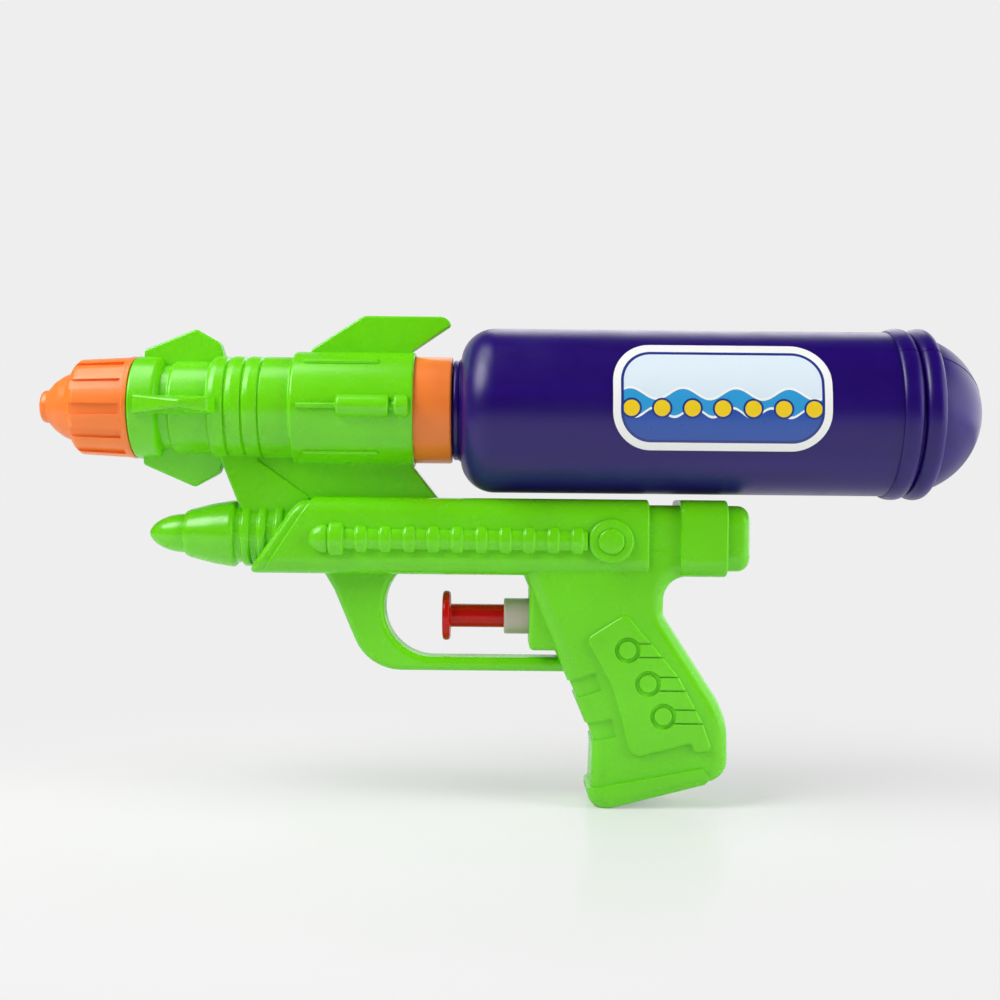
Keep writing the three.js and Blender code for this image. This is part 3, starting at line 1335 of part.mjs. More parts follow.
const pistonEndX = pistonX + PISTON_LENGTH;
const pistonRadius = CYLINDER_BORE - RUNNING_GAP;
const sealX = pistonX + PISTON_LENGTH / 2;
const sealMiddle = CYLINDER_BORE - SEAT_GAP - SEAL_RADIUS;

function trigger() {
  const padBackX = pumpMouthX - PAD_REACH;
  const padX = padBackX - PAD_THICKNESS;
  const groove = SEAL_RADIUS + SEAT_GAP;
  const grooveRadius = sealMiddle - groove;
  return turned([
    [padX, 0],
    [padX, PAD_RADIUS - PAD_EDGE],
    [padX + PAD_EDGE, PAD_RADIUS],
    [padBackX - PAD_EDGE, PAD_RADIUS],
    [padBackX, PAD_RADIUS - PAD_EDGE],
    [padBackX, ROD_RADIUS],
    [pistonX, ROD_RADIUS],
    [pistonX, pistonRadius],
    [sealX - groove, pistonRadius],
    [sealX - groove, grooveRadius],
    [sealX + groove, grooveRadius],
    [sealX + groove, pistonRadius],
    [pistonEndX, pistonRadius],
    [pistonEndX, 0],
  ], SMALL_SIDES, pumpZ);
}

function pistonSeal() {
  const geometry = new THREE.TorusGeometry(sealMiddle, SEAL_RADIUS, WIRE_SIDES + 1, SMALL_SIDES);
  geometry.rotateY(Math.PI / 2);
  return toSolid(geometry.translate(sealX, 0, pumpZ));
}

function rodBush() {
  const ring = ringProfile(
    pumpMouthX,
    pumpMouthX + BUSH_LENGTH,
    CYLINDER_BORE - SEAT_GAP / 2,
    ROD_RADIUS + SEAT_GAP,
  );
  return turned(ring, SMALL_SIDES, pumpZ);
}

function pumpCylinder() {
  const flangeX = PUMP_BLOCK_FRONT_X + CYLINDER_FLANGE_BACK;
  const body = turned([
    [pumpMouthX, CYLINDER_BORE],
    [pumpMouthX, CYLINDER_RADIUS - RING_EDGE / 2],
    [pumpMouthX + RING_EDGE / 2, CYLINDER_RADIUS],
    [flangeX, CYLINDER_RADIUS],
    [flangeX, CYLINDER_FLANGE_RADIUS],
    [flangeX + CYLINDER_FLANGE_WIDTH, CYLINDER_FLANGE_RADIUS],
    [flangeX + CYLINDER_FLANGE_WIDTH, CYLINDER_RADIUS],
    [cylinderEndX, CYLINDER_RADIUS],
    [cylinderEndX, CYLINDER_BORE],
    [pumpMouthX, CYLINDER_BORE],
  ], SMALL_SIDES, pumpZ);
  return body.subtract(turnedUpright(rodProfile(pumpZ, valveTop, PORT_RADIUS), HOLE_SIDES, outletX));
}

function valveBlock() {
  const half = CYLINDER_RADIUS + SEAT_GAP + VALVE_WALL;
  const frontX = socketFloorX - SOCKET_DEPTH;
  const rearX = socketFloorX + VALVE_REAR_LENGTH;
  const chimney = CHAMBER_RADIUS + CHIMNEY_WALL;
  const body = joined([
    box(frontX, rearX, -half, half, pumpZ - half, valveTop),
    turnedUpright(rodProfile(pumpZ, chimneyTop, chimney), HOLE_SIDES, inletX),
    turnedUpright(rodProfile(valveTop - VALVE_WALL / 2, chimneyTop, chimney), HOLE_SIDES, outletX),
  ]);
  const open = chimneyTop + OVERSHOOT;
  return cut(body, [
    turned(rodProfile(frontX - OVERSHOOT, socketFloorX, CYLINDER_RADIUS + SEAT_GAP), SMALL_SIDES, pumpZ),
    turned(rodProfile(socketFloorX - OVERSHOOT, inletX, PORT_RADIUS), HOLE_SIDES, pumpZ),
    turnedUpright(rodProfile(pumpZ - INLET_DEPTH, open, CHAMBER_RADIUS), HOLE_SIDES, inletX),
    turnedUpright(rodProfile(valveTop - OUTLET_FLOOR, open, CHAMBER_RADIUS), HOLE_SIDES, outletX),
    turnedUpright(rodProfile(pumpZ, open, PORT_RADIUS), HOLE_SIDES, outletX),
  ]);
}

// A nipple whose plug closes a chimney and whose stem takes a hose
function nipple(x, plugDepth) {
  const plug = CHAMBER_RADIUS - SEAT_GAP / 2;
  const flangeZ = chimneyTop + SEAT_GAP;
  const stemZ = flangeZ + NIPPLE_FLANGE;
  return turnedUpright([
    [chimneyTop - plugDepth, NIPPLE_BORE],
    [chimneyTop - plugDepth, plug],
    [flangeZ, plug],
    [flangeZ, CHAMBER_RADIUS + CHIMNEY_WALL],
    [stemZ, CHAMBER_RADIUS + CHIMNEY_WALL],
    [stemZ, nippleRadius],
    [stemZ + NIPPLE_LENGTH, nippleRadius],
    [stemZ + NIPPLE_LENGTH, NIPPLE_BORE],
    [chimneyTop - plugDepth, NIPPLE_BORE],
  ], HOLE_SIDES, x);
}

function ball(x, z) {
  const geometry = new THREE.SphereGeometry(BALL_RADIUS, HOLE_SIDES, MOULDING_SIDES);
  geometry.rotateX(Math.PI / 2);
  return toSolid(geometry.translate(x, 0, z));
}

// How far a ball's middle stands off the rim of the hole that it closes
const ballStand = Math.sqrt(BALL_RADIUS ** 2 - PORT_RADIUS ** 2) + BALL_GAP;
const outletBallZ = valveTop - OUTLET_FLOOR + ballStand;
const inletBallZ = chimneyTop - INLET_PLUG - ballStand;

// A spring about a line along X, one unbroken wire, with its least gap to itself printed
function spring(name, fromX, toX, radius, wire, turns) {
  const pitch = (toX - fromX - 2 * wire) / turns;
  console.log(name + " least gap between turns " + (pitch - 2 * wire).toFixed(2) + " mm");
  const coil = new Coil(fromX + wire, pitch, turns, radius);
  return tubeAlong(coil, turns * CURL_STEPS, wire, WIRE_SIDES);
}

function returnSpring() {
  const fromX = pistonEndX + SEAT_GAP;
  const toX = socketFloorX - SEAT_GAP;
  const coil = spring("return_spring", fromX, toX, SPRING_RADIUS, SPRING_WIRE_RADIUS, SPRING_TURNS);
  return coil.translate([0, 0, pumpZ]);
}

function inletSpring() {
  const length = inletBallZ - BALL_RADIUS - (pumpZ - INLET_DEPTH) - 2 * SEAT_GAP;
  const turns = VALVE_SPRING_TURNS;
  const coil = spring("inlet_spring", 0, length, VALVE_SPRING_RADIUS, VALVE_WIRE_RADIUS, turns);
  return coil.rotate([0, -90, 0]).translate([inletX, 0, pumpZ - INLET_DEPTH + SEAT_GAP]);
}

// Hoses, all in the seam plane

function hose(corners) {
  const route = new Route(corners.map(([x, z]) => new THREE.Vector3(x, 0, z)), HOSE_BEND);
  return tubeAlong(route, route.stations.length - 1, HOSE_RADIUS, HOSE_SIDES, HOSE_BORE);
}

function inletHose() {
  const level = RECEIVER_AXIS_Z + INLET_HOSE_LEVEL;
  return hose([
    [collarFrontX - SEAT_GAP, barrelZ],
    [inletRiserX, barrelZ],
    [inletRiserX, level],
    [inletX, level],
    [inletX, hoseStartZ],
  ]);
}

function outletHose() {
  const level = RECEIVER_AXIS_Z + OUTLET_HOSE_LEVEL;
  return hose([
    [outletX, hoseStartZ],
    [outletX, level],
    [outletRiserX, level],
    [outletRiserX, barrelZ],
    [jetRearX + SEAT_GAP, barrelZ],
  ]);
}

// The assembly

const GREEN = ["#62cb1f", 0.34];
const ORANGE = ["#f07a33", 0.4];
const PURPLE = ["#2a1268", 0.45];
const RED = ["#b01a10", 0.3];
const OFF_WHITE = ["#d2cbc2", 0.5];
const CLEAR_VINYL = ["#d9dccb", 0.3];
const RUBBER = ["#26231f", 0.7];
const STEEL = ["#b9bbbd", 0.3, 1];
const PRINTED_FILM = ["#f2f4f6", 0.35];

const squirter = new THREE.Group();
squirter.name = "water_squirter";

function addPiece(name, solid, [colour, roughness, metalness = 0]) {
  const mesh = solid.getMesh();
  const geometry = new THREE.BufferGeometry();
  geometry.setAttribute("position", new THREE.BufferAttribute(mesh.vertProperties, 3));
  geometry.setIndex(new THREE.BufferAttribute(mesh.triVerts, 1));
  geometry.computeVertexNormals();
  const material = new THREE.MeshStandardMaterial({ color: colour, roughness, metalness });
  const piece = new THREE.Mesh(geometry, material);
  piece.name = name;
  squirter.add(piece);
}

addPiece("left_shell", casingHalf(-1), GREEN);
addPiece("right_shell", casingHalf(1), GREEN);
addPiece("nozzle_cap", nozzleCap(), ORANGE);
addPiece("jet_pipe", jetPipe(), OFF_WHITE);
addPiece("tank_collar", tankCollar(), ORANGE);
addPiece("tank_gasket", tankGasket(), RUBBER);
addPiece("tank", tank(), PURPLE);
addPiece("tank_sticker", tankSticker(), PRINTED_FILM);
addPiece("dip_tube", dipTube(), CLEAR_VINYL);
addPiece("trigger", trigger(), RED);
addPiece("piston_seal", pistonSeal(), RUBBER);
addPiece("return_spring", returnSpring(), STEEL);
addPiece("rod_bush", rodBush(), OFF_WHITE);
addPiece("pump_cylinder", pumpCylinder(), OFF_WHITE);
addPiece("valve_block", valveBlock(), OFF_WHITE);
addPiece("inlet_nipple", nipple(inletX, INLET_PLUG), OFF_WHITE);
addPiece("outlet_nipple", nipple(outletX, OUTLET_PLUG), OFF_WHITE);
addPiece("inlet_ball", ball(inletX, inletBallZ), STEEL);
addPiece("outlet_ball", ball(outletX, outletBallZ), STEEL);
addPiece("inlet_spring", inletSpring(), STEEL);
addPiece("inlet_hose", inletHose(), CLEAR_VINYL);
addPiece("outlet_hose", outletHose(), CLEAR_VINYL);
screwPlaces.forEach((place, i) => addPiece("case_screw_" + (i + 1), caseScrew(place), STEEL));

export default squirter;
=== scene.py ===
import math

import bpy
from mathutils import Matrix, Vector


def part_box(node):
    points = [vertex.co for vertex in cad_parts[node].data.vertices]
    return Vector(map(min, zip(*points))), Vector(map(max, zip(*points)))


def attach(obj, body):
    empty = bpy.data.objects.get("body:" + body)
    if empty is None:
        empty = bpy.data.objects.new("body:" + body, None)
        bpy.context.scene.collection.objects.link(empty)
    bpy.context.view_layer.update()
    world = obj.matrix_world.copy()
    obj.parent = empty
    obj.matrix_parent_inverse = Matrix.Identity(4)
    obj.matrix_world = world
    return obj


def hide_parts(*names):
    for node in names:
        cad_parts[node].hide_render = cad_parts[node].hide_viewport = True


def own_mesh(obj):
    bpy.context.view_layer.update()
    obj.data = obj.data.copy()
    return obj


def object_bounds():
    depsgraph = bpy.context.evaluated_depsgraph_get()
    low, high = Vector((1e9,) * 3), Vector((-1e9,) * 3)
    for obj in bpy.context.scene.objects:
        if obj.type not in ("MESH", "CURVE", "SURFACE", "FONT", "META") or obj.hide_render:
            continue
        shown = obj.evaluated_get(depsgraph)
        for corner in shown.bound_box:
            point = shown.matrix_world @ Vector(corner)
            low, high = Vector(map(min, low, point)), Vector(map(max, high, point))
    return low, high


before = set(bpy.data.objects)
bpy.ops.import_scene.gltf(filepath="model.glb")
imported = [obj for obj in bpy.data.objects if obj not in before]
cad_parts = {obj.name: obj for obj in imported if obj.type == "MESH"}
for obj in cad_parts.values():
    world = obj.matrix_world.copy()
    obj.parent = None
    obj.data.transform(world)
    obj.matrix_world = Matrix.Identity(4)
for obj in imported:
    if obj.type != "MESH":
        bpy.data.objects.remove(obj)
CAD_LOW, CAD_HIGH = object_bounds()

bl_info = {
    "name": "Water squirter",
    "version": (1, 0, 0),
    "blender": (4, 5, 0),
    "location": "3D View > Sidebar > Squirter",
    "description": "Models and finishes the water squirter around its packed solids",
    "category": "Add Mesh",
}

MM = 0.001  # pieces are modelled in millimetres and brought to metres at the end
TINY = 1e-4  # what lies closer than this counts as one place
WIDE = 200  # beyond the object on every side


def middle(node, axis):
    """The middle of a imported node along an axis, in millimetres."""
    low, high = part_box(node)
    return (low[axis] + high[axis]) / 2 / MM


# Sizes and places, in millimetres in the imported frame; corners are [x, z, rounding].
BARREL_Z = middle("nozzle_cap", 2)
PUMP_Z = middle("pump_cylinder", 2)
SEAM = 0.06  # slot between the casing halves
WALL = 2

# Barrel and its fins
BARREL_FRONT, BARREL_REAR = -151.6, -68.5
RIB_START, RIB_PITCH, RIB_COUNT = -128.5, 5, 3
RIB_FOOT, RIB_CREST = 14.75, 15.65
SLEEVE_RADIUS = 17.1
SLEEVE_RIB_TURN = 51  # degrees above and below the middle of the side
FIN_ROOT = 15.2  # fins are rounded over beyond this radius

# Receiver, the long box under the barrel, with its nose and tail
RECEIVER_Z, RECEIVER_HEIGHT, RECEIVER_WIDTH, RECEIVER_CORNER = 46.2, 22.6, 25, 5
RECEIVER_FRONT, RECEIVER_REAR, RECEIVER_LEAN = -102.3, 0.7, 14.8
RECEIVER_TOP = RECEIVER_Z + RECEIVER_HEIGHT / 2
RECEIVER_BOTTOM = RECEIVER_Z - RECEIVER_HEIGHT / 2
LIP_LENGTH, LIP_STEP = 4.3, 0.9
TAIL_NECK_END, TAIL_BLOCK_END, TAIL_END, TAIL_INSET = 9.9, 23.8, 30.6, 1.6
NOSE_TIP = -147.8
NOSE_RING_START, NOSE_RING_PITCH, NOSE_RING_COUNT = -121.7, 4.95, 3

# Half-round moulding and button on the receiver's sides
MOULDING_Z = RECEIVER_Z - 0.9
MOULDING_FLATNESS = 0.6
BEAD_START, BEAD_PITCH, BEAD_COUNT, BEAD_WIDTH = -85, 7, 10, 3.4
BUTTON_X = -10.5

# Trigger guard, its bow a circle of [x, z, radius], and hand grip
GUARD_BOW, GUARD_BOW_END, GUARD_HALF = (-62.3, 25.1, 14.7), 138.2, 5.5
GRIP_WIDTH = 22
GRIP_CORNERS = [
    (-36.2, 46.2, 0), (-36.2, 35.8, 0), (-15.2, -13.5, 16), (-15.9, -34.4, 5),
    (24.6, -24, 6.6), (24.4, -5.8, 24), (5.4, 23.5, 5), (5.4, 34.9, 7),
    (14.4, 34.9, 0), (14.4, 46.2, 0),
]
PANEL_CORNERS = [
    (-5.8, 24.4, 2.6), (-17.6, 16.8, 2.2), (-9.9, 3.2, 22), (-7.1, -5.7, 0),
    (-4.1, -18.4, 3.2), (13.4, -13.8, 0.8), (14.3, -16.6, 1.5), (19.9, -15.8, 1.8),
    (16.6, -6.8, 30), (9.7, 6.1, 30),
]
FOOT_REGION = [
    (-24, -28.6), (16.8, -20.8), (19.4, -23.7), (17.6, -25.8), (-9.9, -32.85), (-24, -32.85),
]
PANEL_RAISE, PANEL_EDGE = 1, 0.95
RING_PLACES = [(-5.3, 13.5), (0.7, 3.8), (5.2, -5.7)]
RECESSES, RECESS_HALF = [(-16.8, 3.2, 19), (-12.2, -9.9, 12)], 2.7  # x, z and turn

# Case screws and their posts
SCREWS = [(-108.85, 92.7), (-82, 92.7), (-75.2, 39.3), (16.85, 46.2), (0, 8), (3, -19.8)]
SCREW_SEAT = 5.5
POST_RADIUS, PILOT_RADIUS, CLEAR_RADIUS, WELL_RADIUS = 2.9, 1.35, 1.55, 2.85

# Nozzle, collar and thread
NOZZLE_TIP, NOZZLE_REAR, NOZZLE_RADIUS = -180.2, -151.7, 14.95
FLUTE_COUNT, FLUTE_TURN, FLUTE_END = 12, 5, -153.9
COLLAR_REAR, COLLAR_FLOOR = -57.4, -69.6
THREAD_PITCH, THREAD_TURNS, THREAD_ROUND = 3.5, 1.5, 0.75

# Tank and its film
TANK_RADIUS, TANK_WALL = 24.5, 1.4
TANK_SHOULDER, SHOULDER_ROUND = -54.9, 10.2
TANK_RINGS = (74.2, 80.6)
RING_RADIUS, RING_HALF = 25.6, 3
DOME_X, DOME_RADIUS = 76, 24
PARTING_TURN = 46
STICKER_X, STICKER_Z = 19.7, BARREL_Z + 3.1
STICKER_LENGTH, STICKER_HEIGHT, STICKER_CORNER = 62, 30.5, 11
FILM_INSIDE, FILM_OUTSIDE = 24.58, 24.82

# Pump, springs, hoses and dip tube
PUMP_MOUTH, PUMP_END = -41.5, -7.5
HOUSING_LOW, HOUSING_HIGH, HOUSING_EDGE = (-34.1, -9, 12.8), (-22.1, 9, 40), 1.6
SPRING_START, SPRING_LENGTH, SPRING_TURNS = -33.05, 25.15, 6
SPRING_RADIUS, SPRING_WIRE, SPRING_KEEP = 2.9, 0.4, 0.46
VALVE_SPRING_TURNS, VALVE_SPRING_WIRE = 4, 0.25
HOSE_RADIUS, HOSE_BORE = 2.4, 1.5
HOSE_TOP, INLET_LEVEL, OUTLET_LEVEL, HOSE_FOOT = 83.7, 52.6, 47.1, 36.25
INLET_WAY, OUTLET_WAY, WAY_HALF = -88, -98, 2.9  # upright ways through the web
HOSE_BEND = 7.5
DIP_RADIUS, DIP_BORE, DIP_SAG = 2.2, 1.3, 3

# Stage, in metres: each softbox has a place, a diameter and a power in watts.
STAGE_X = -0.04
FLOOR_RADIUS = 3
CLOTH_RADIUS, CLOTH_HEIGHT, CLOTH_SUNK = 1.6, 2.4, 0.1
CARD_GLOSS, CARD_FADE = (60, 160), (60, 290)  # from and to, in mm from the middle
SOFTBOXES = {
    "left_softbox": ((-0.58, -0.31, 0.58), 0.5, 5.0),
    "right_softbox": ((0.74, -0.25, 0.28), 0.45, 4.6),
    "top_softbox": ((-0.34, -0.06, 0.68), 0.4, 1.4),
    "back_softbox": ((0.1, 0.64, 0.56), 0.5, 1.2),
}
LIT_POINT = Vector((STAGE_X, 0, 0.05))
CAMERA_PLACE, CAMERA_ROLL = (-0.043, -0.4167, 0.057), -0.55


def linear(code):
    """An sRGB hex colour as linear red, green and blue."""
    channels = [int(code[i:i + 2], 16) / 255 for i in (1, 3, 5)]
    return [c / 12.92 if c <= 0.04045 else ((c + 0.055) / 1.055) ** 2.4 for c in channels]


# Modelling by hand, in code

def leave():
    """Goes back to object mode."""
    if bpy.context.object and bpy.context.object.mode != "OBJECT":
        bpy.ops.object.mode_set(mode="OBJECT")


def free():
    """Goes back to object mode and deselects every object."""
    leave()
    bpy.ops.object.select_all(action="DESELECT")


def hold(obj):
    """Makes one object the only selected one."""
    free()
    obj.select_set(True)
    bpy.context.view_layer.objects.active = obj


def choose(obj, test, kind="EDGE"):
    """Enters edit mode with the edges or corners whose places pass a test."""
    hold(obj)
    mesh = obj.data
    for group in (mesh.vertices, mesh.edges, mesh.polygons):
        group.foreach_set("select", [False] * len(group))
    if kind == "EDGE":
        for edge in mesh.edges:
            edge.select = test(*(mesh.vertices[i].co for i in edge.vertices))
    else:
        for corner in mesh.vertices:
            corner.select = test(corner.co)
    bpy.context.tool_settings.mesh_select_mode = (kind == "VERT", kind == "EDGE", False)
    bpy.ops.object.mode_set(mode="EDIT")


def close_up(merge=True):
    """Merges doubled corners, turns the faces outward and leaves edit mode."""
    bpy.ops.mesh.select_all(action="SELECT")
    if merge:
        bpy.ops.mesh.remove_doubles(threshold=TINY)
    bpy.ops.mesh.normals_make_consistent(inside=False)
    leave()


def round_over(obj, test, width, steps):
    """Rounds over the edges whose two ends pass a test."""
    choose(obj, test)
    bpy.ops.mesh.bevel(offset=width, segments=steps, affect="EDGES", clamp_overlap=False)
    leave()


def apply(obj, kind, **settings):
    """Adds a modifier to the held object and applies it."""
    modifier = obj.modifiers.new(kind.lower(), kind)
    for key, value in settings.items():
        setattr(modifier, key, value)
    bpy.ops.object.modifier_apply(modifier=modifier.name)


def draw(points, closed=False):
    """A line drawn corner by corner; it is left in edit mode, all selected."""
    free()
    bpy.context.tool_settings.mesh_select_mode = (True, False, False)
    bpy.ops.mesh.primitive_plane_add(size=1)
    obj = bpy.context.object
    bpy.ops.object.mode_set(mode="EDIT")
    bpy.ops.mesh.merge(type="CENTER")
    bpy.ops.transform.translate(value=points[0])
    if closed:
        points = [*points, points[0]]
    for last, point in zip(points, points[1:]):
        step = Vector(point) - Vector(last)
        bpy.ops.mesh.extrude_vertices_move(TRANSFORM_OT_translate={"value": step})
    bpy.ops.mesh.select_all(action="SELECT")
    if closed:
        bpy.ops.mesh.remove_doubles(threshold=TINY)
        bpy.ops.mesh.edge_face_add()
    return obj


def turned(corners, sides, z, y=0.0):
    """A form spun about a line along X from corners of [x, radius] or [x, radius, rounding]."""
    points = rounded([(*corner, 0)[:3] for corner in corners], 5, closed=False)
    obj = draw([(x, y, z + radius) for x, radius in points])
    bpy.ops.mesh.spin(steps=sides, angle=2 * math.pi, center=(0, y, z), axis=(1, 0, 0))
    close_up()
    return obj


def plate(outline, from_y, to_y, edge=0.0, steps=4):
    """A plate cut to a side outline of [x, z], its edges rounded over."""
    obj = draw([(x, from_y, z) for x, z in outline], closed=True)
    bpy.ops.mesh.extrude_region_move(TRANSFORM_OT_translate={"value": (0, to_y - from_y, 0)})
    close_up(merge=False)
    if edge:
        round_over(obj, lambda a, b: abs(a.y - b.y) < TINY, edge, steps)
    return obj


def block(low, high, lean=0.0, corner=0.0, front=0.0, rear=0.0):
    """A box whose long edges and ends are rounded; its front may lean forward at the foot."""
    free()
    low, high = Vector(low), Vector(high)
    bpy.ops.mesh.primitive_cube_add(size=1, location=(low + high) / 2, scale=high - low)
    obj = bpy.context.object
    bpy.ops.object.transform_apply()

    def at_front(v):
        """Whether a corner lies on the leaning front."""
        share = (v.z - low.z) / (high.z - low.z)
        return abs(v.x - low.x + lean * (1 - share)) < TINY

    if lean:
        choose(obj, lambda v: v.x < low.x + TINY and v.z < low.z + TINY, "VERT")
        bpy.ops.transform.translate(value=(-lean, 0, 0))
        leave()
    for width, steps, test in (
            (corner, 10, lambda a, b: abs(a.y - b.y) < TINY and abs(a.z - b.z) < TINY),
            (front, 5, lambda a, b: at_front(a) and at_front(b)),
            (rear, 6, lambda a, b: min(a.x, b.x) > high.x - TINY)):
        if width:
            round_over(obj, test, width, steps)
    return obj


def combine(base, operation, others):
    """Joins other closed forms to a base, cuts them out of it or keeps what they share."""
    for other in others:
        hold(base)
        apply(base, "BOOLEAN", operation=operation, solver="MANIFOLD", object=other)
        bpy.data.objects.remove(other)
    return base


def copy_of(obj):
    """A copy with a mesh of its own."""
    hold(obj)
    bpy.ops.object.duplicate(linked=False)
    return bpy.context.object


def place(obj, move=(0, 0, 0), turn=(0, 0, 0), scale=(1, 1, 1)):
    """Moves, turns (degrees) or scales an object about its origin and applies it."""
    hold(obj)
    obj.location = move
    obj.rotation_euler = [math.radians(a) for a in turn]
    obj.scale = scale
    bpy.ops.object.transform_apply()
    if min(scale) < 0:
        bpy.ops.object.mode_set(mode="EDIT")
        close_up(merge=False)
    return obj


def copies(obj, places):
    """Copies of a form at places of [move, turn], in place of the form."""
    made = [place(copy_of(obj), move, turn) for move, turn in places]
    bpy.data.objects.remove(obj)
    return made


def around_barrel(obj, *angles):
    """Copies of a form, turned to angles about the barrel's axis, in place of the form."""
    return copies(obj, [((0, 0, BARREL_Z), (angle, 0, 0)) for angle in angles])


def rounded(corners, steps=8, closed=True):
    """Points of an outline whose corners of [a, b, rounding] are rounded off."""
    points = []
    for i, (x, z, radius) in enumerate(corners):
        here = Vector((x, z))
        if not radius or (not closed and i in (0, len(corners) - 1)):
            points.append((x, z))
            continue
        back = (Vector(corners[i - 1][:2]) - here).normalized()
        ahead = (Vector(corners[(i + 1) % len(corners)][:2]) - here).normalized()
        half = back.angle(ahead) / 2
        centre = here + (back + ahead).normalized() * (radius / math.sin(half))
        start = here + back * (radius / math.tan(half)) - centre
        end = here + ahead * (radius / math.tan(half)) - centre
        turn = math.atan2(start.x * end.y - start.y * end.x, start.dot(end))
        first = math.atan2(start.y, start.x)
        for k in range(steps + 1):
            angle = first + turn * k / steps
            points.append((centre.x + radius * math.cos(angle),
                           centre.y + radius * math.sin(angle)))
    return points


def inset(points, depth):
    """An outline drawn anticlockwise, moved inwards by a wall's thickness."""
    moved = []
    for i, point in enumerate(points):
        back = (Vector(point) - Vector(points[i - 1])).normalized()
        ahead = (Vector(points[(i + 1) % len(points)]) - Vector(point)).normalized()
        inward = Vector((-back.y - ahead.y, back.x + ahead.x)) / (1 + back.dot(ahead))
        moved.append(tuple(Vector(point) + inward * depth))
    return moved


def repeated(start, pitch, count, shape):
    """Corners of a profile in which a shape of [x, radius, rounding] comes again and again."""
    return [(start + i * pitch + x, *rest) for i in range(count) for x, *rest in shape]


def arc(x, z, radius, start, end, steps):
    """Points of an arc between two angles in degrees."""
    angles = [math.radians(start + (end - start) * i / steps) for i in range(steps + 1)]
    return [(x + radius * math.cos(a), z + radius * math.sin(a)) for a in angles]


def round_end(tip, reach, radius, steps, point=1.0):
    """A rounded front end of a turned profile, from the axis out to its full radius; a point
    over 1 makes it slimmer."""
    angles = [math.pi / 2 * i / steps for i in range(steps + 1)]
    return [(tip + reach * (1 - math.cos(a)), radius * math.sin(a) ** point) for a in angles]


def coil(start, pitch, turns, radius, wire, z, sides=10, steps=32):
    """A wire wound about a line along X, its ends closed."""
    free()
    bpy.ops.mesh.primitive_circle_add(vertices=sides, radius=wire, location=(start, 0, radius),
                                      rotation=(math.pi / 2, 0, 0))
    obj = bpy.context.object
    bpy.ops.object.transform_apply()
    count = round(steps * turns)
    apply(obj, "SCREW", axis="X", angle=2 * math.pi * turns, screw_offset=pitch * turns,
          steps=count, render_steps=count, use_smooth_shade=True)
    bpy.ops.object.mode_set(mode="EDIT")
    bpy.ops.mesh.select_all(action="SELECT")
    bpy.ops.mesh.remove_doubles(threshold=TINY)
    bpy.ops.mesh.fill_holes(sides=0)
    close_up(merge=False)
    return place(obj, move=(0, 0, z))


def thread(start, radius):
    """A rounded screw thread about the barrel's axis."""
    return coil(start, THREAD_PITCH, THREAD_TURNS, radius, THREAD_ROUND, BARREL_Z, 12, 64)


def tube(route, radius, bore):
    """A tube along a route of [x, z] in the seam plane, its ends open to the bore."""
    draw([(x, 0, z) for x, z in route])
    leave()
    bpy.ops.object.convert(target="CURVE")
    bpy.context.object.data.bevel_depth = radius
    bpy.context.object.data.bevel_resolution = 5
    bpy.ops.object.convert(target="MESH")
    obj = bpy.context.object
    bpy.ops.object.mode_set(mode="EDIT")
    close_up()
    apply(obj, "SOLIDIFY", thickness=radius - bore, offset=-1)
    return obj


def across(radius, from_y, to_y):
    """Round posts or holes across the casing, one at each screw."""
    rod = turned([(from_y, 0), (from_y, radius), (to_y, radius), (to_y, 0)], 32, 0)
    return copies(rod, [((x, 0, z), (0, 0, 90)) for x, z in SCREWS])


def finish_piece(obj, name, node, slot, body="frame", angle=32):
    """Brings a piece to metres, smooths it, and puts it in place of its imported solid."""
    place(obj, scale=(MM, MM, MM))
    obj.name = obj.data.name = name
    bpy.ops.object.shade_smooth_by_angle(angle=math.radians(angle))
    apply(obj, "WEIGHTED_NORMAL", keep_sharp=True, weight=80)
    obj.data.materials.clear()
    obj.data.materials.append(finish(slot))
    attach(obj, body)
    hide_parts(node)


# Nodes

def feed(tree, node, inputs):
    """Sets a node's inputs to constants, or links them to other nodes' sockets."""
    for key, value in inputs.items():
        if isinstance(value, bpy.types.NodeSocket):
            tree.links.new(value, node.inputs[key])
        else:
            node.inputs[key].default_value = value


def add(tree, kind, inputs=None, **settings):
    """Adds a node with its settings and inputs."""
    node = tree.nodes.new(kind)
    for key, value in settings.items():
        setattr(node, key, value)
    feed(tree, node, inputs or {})
    return node


def blank(name):
    """A new material with its shader, and the millimetre coordinates that patterns read."""
    material = bpy.data.materials.new(name)
    material.use_nodes = True
    tree = material.node_tree
    place_of = add(tree, "ShaderNodeTexCoord").outputs["Object"]
    in_mm = add(tree, "ShaderNodeMapping", {"Vector": place_of, "Scale": [1 / MM] * 3})
    return material, tree, tree.nodes["Principled BSDF"], in_mm.outputs["Vector"]


def noise(tree, at, size, detail, roughness=0.5):
    """A cloudy pattern with patches of a size in millimetres."""
    return add(tree, "ShaderNodeTexNoise", {
        "Vector": at, "Scale": 1 / size, "Detail": detail, "Roughness": roughness}).outputs["Fac"]


def ranged(tree, value, low, high, to_low=0, to_high=1, kind="LINEAR"):
    """Maps a value from one range to another and holds it there."""
    return add(tree, "ShaderNodeMapRange", {
        "Value": value, "From Min": low, "From Max": high, "To Min": to_low, "To Max": to_high},
        interpolation_type=kind).outputs["Result"]


def bumped(tree, height, strength, depth, under=None):
    """Relief of a depth in millimetres, over other relief."""
    relief = {"Height": height, "Strength": strength, "Distance": depth * MM}
    if under:
        relief["Normal"] = under
    return add(tree, "ShaderNodeBump", relief).outputs["Normal"]


def mixed(tree, share, first, second, blend="MIX"):
    """Two colours mixed."""
    return add(tree, "ShaderNodeMix", {0: share, 6: first, 7: second},
               data_type="RGBA", blend_type=blend).outputs[2]


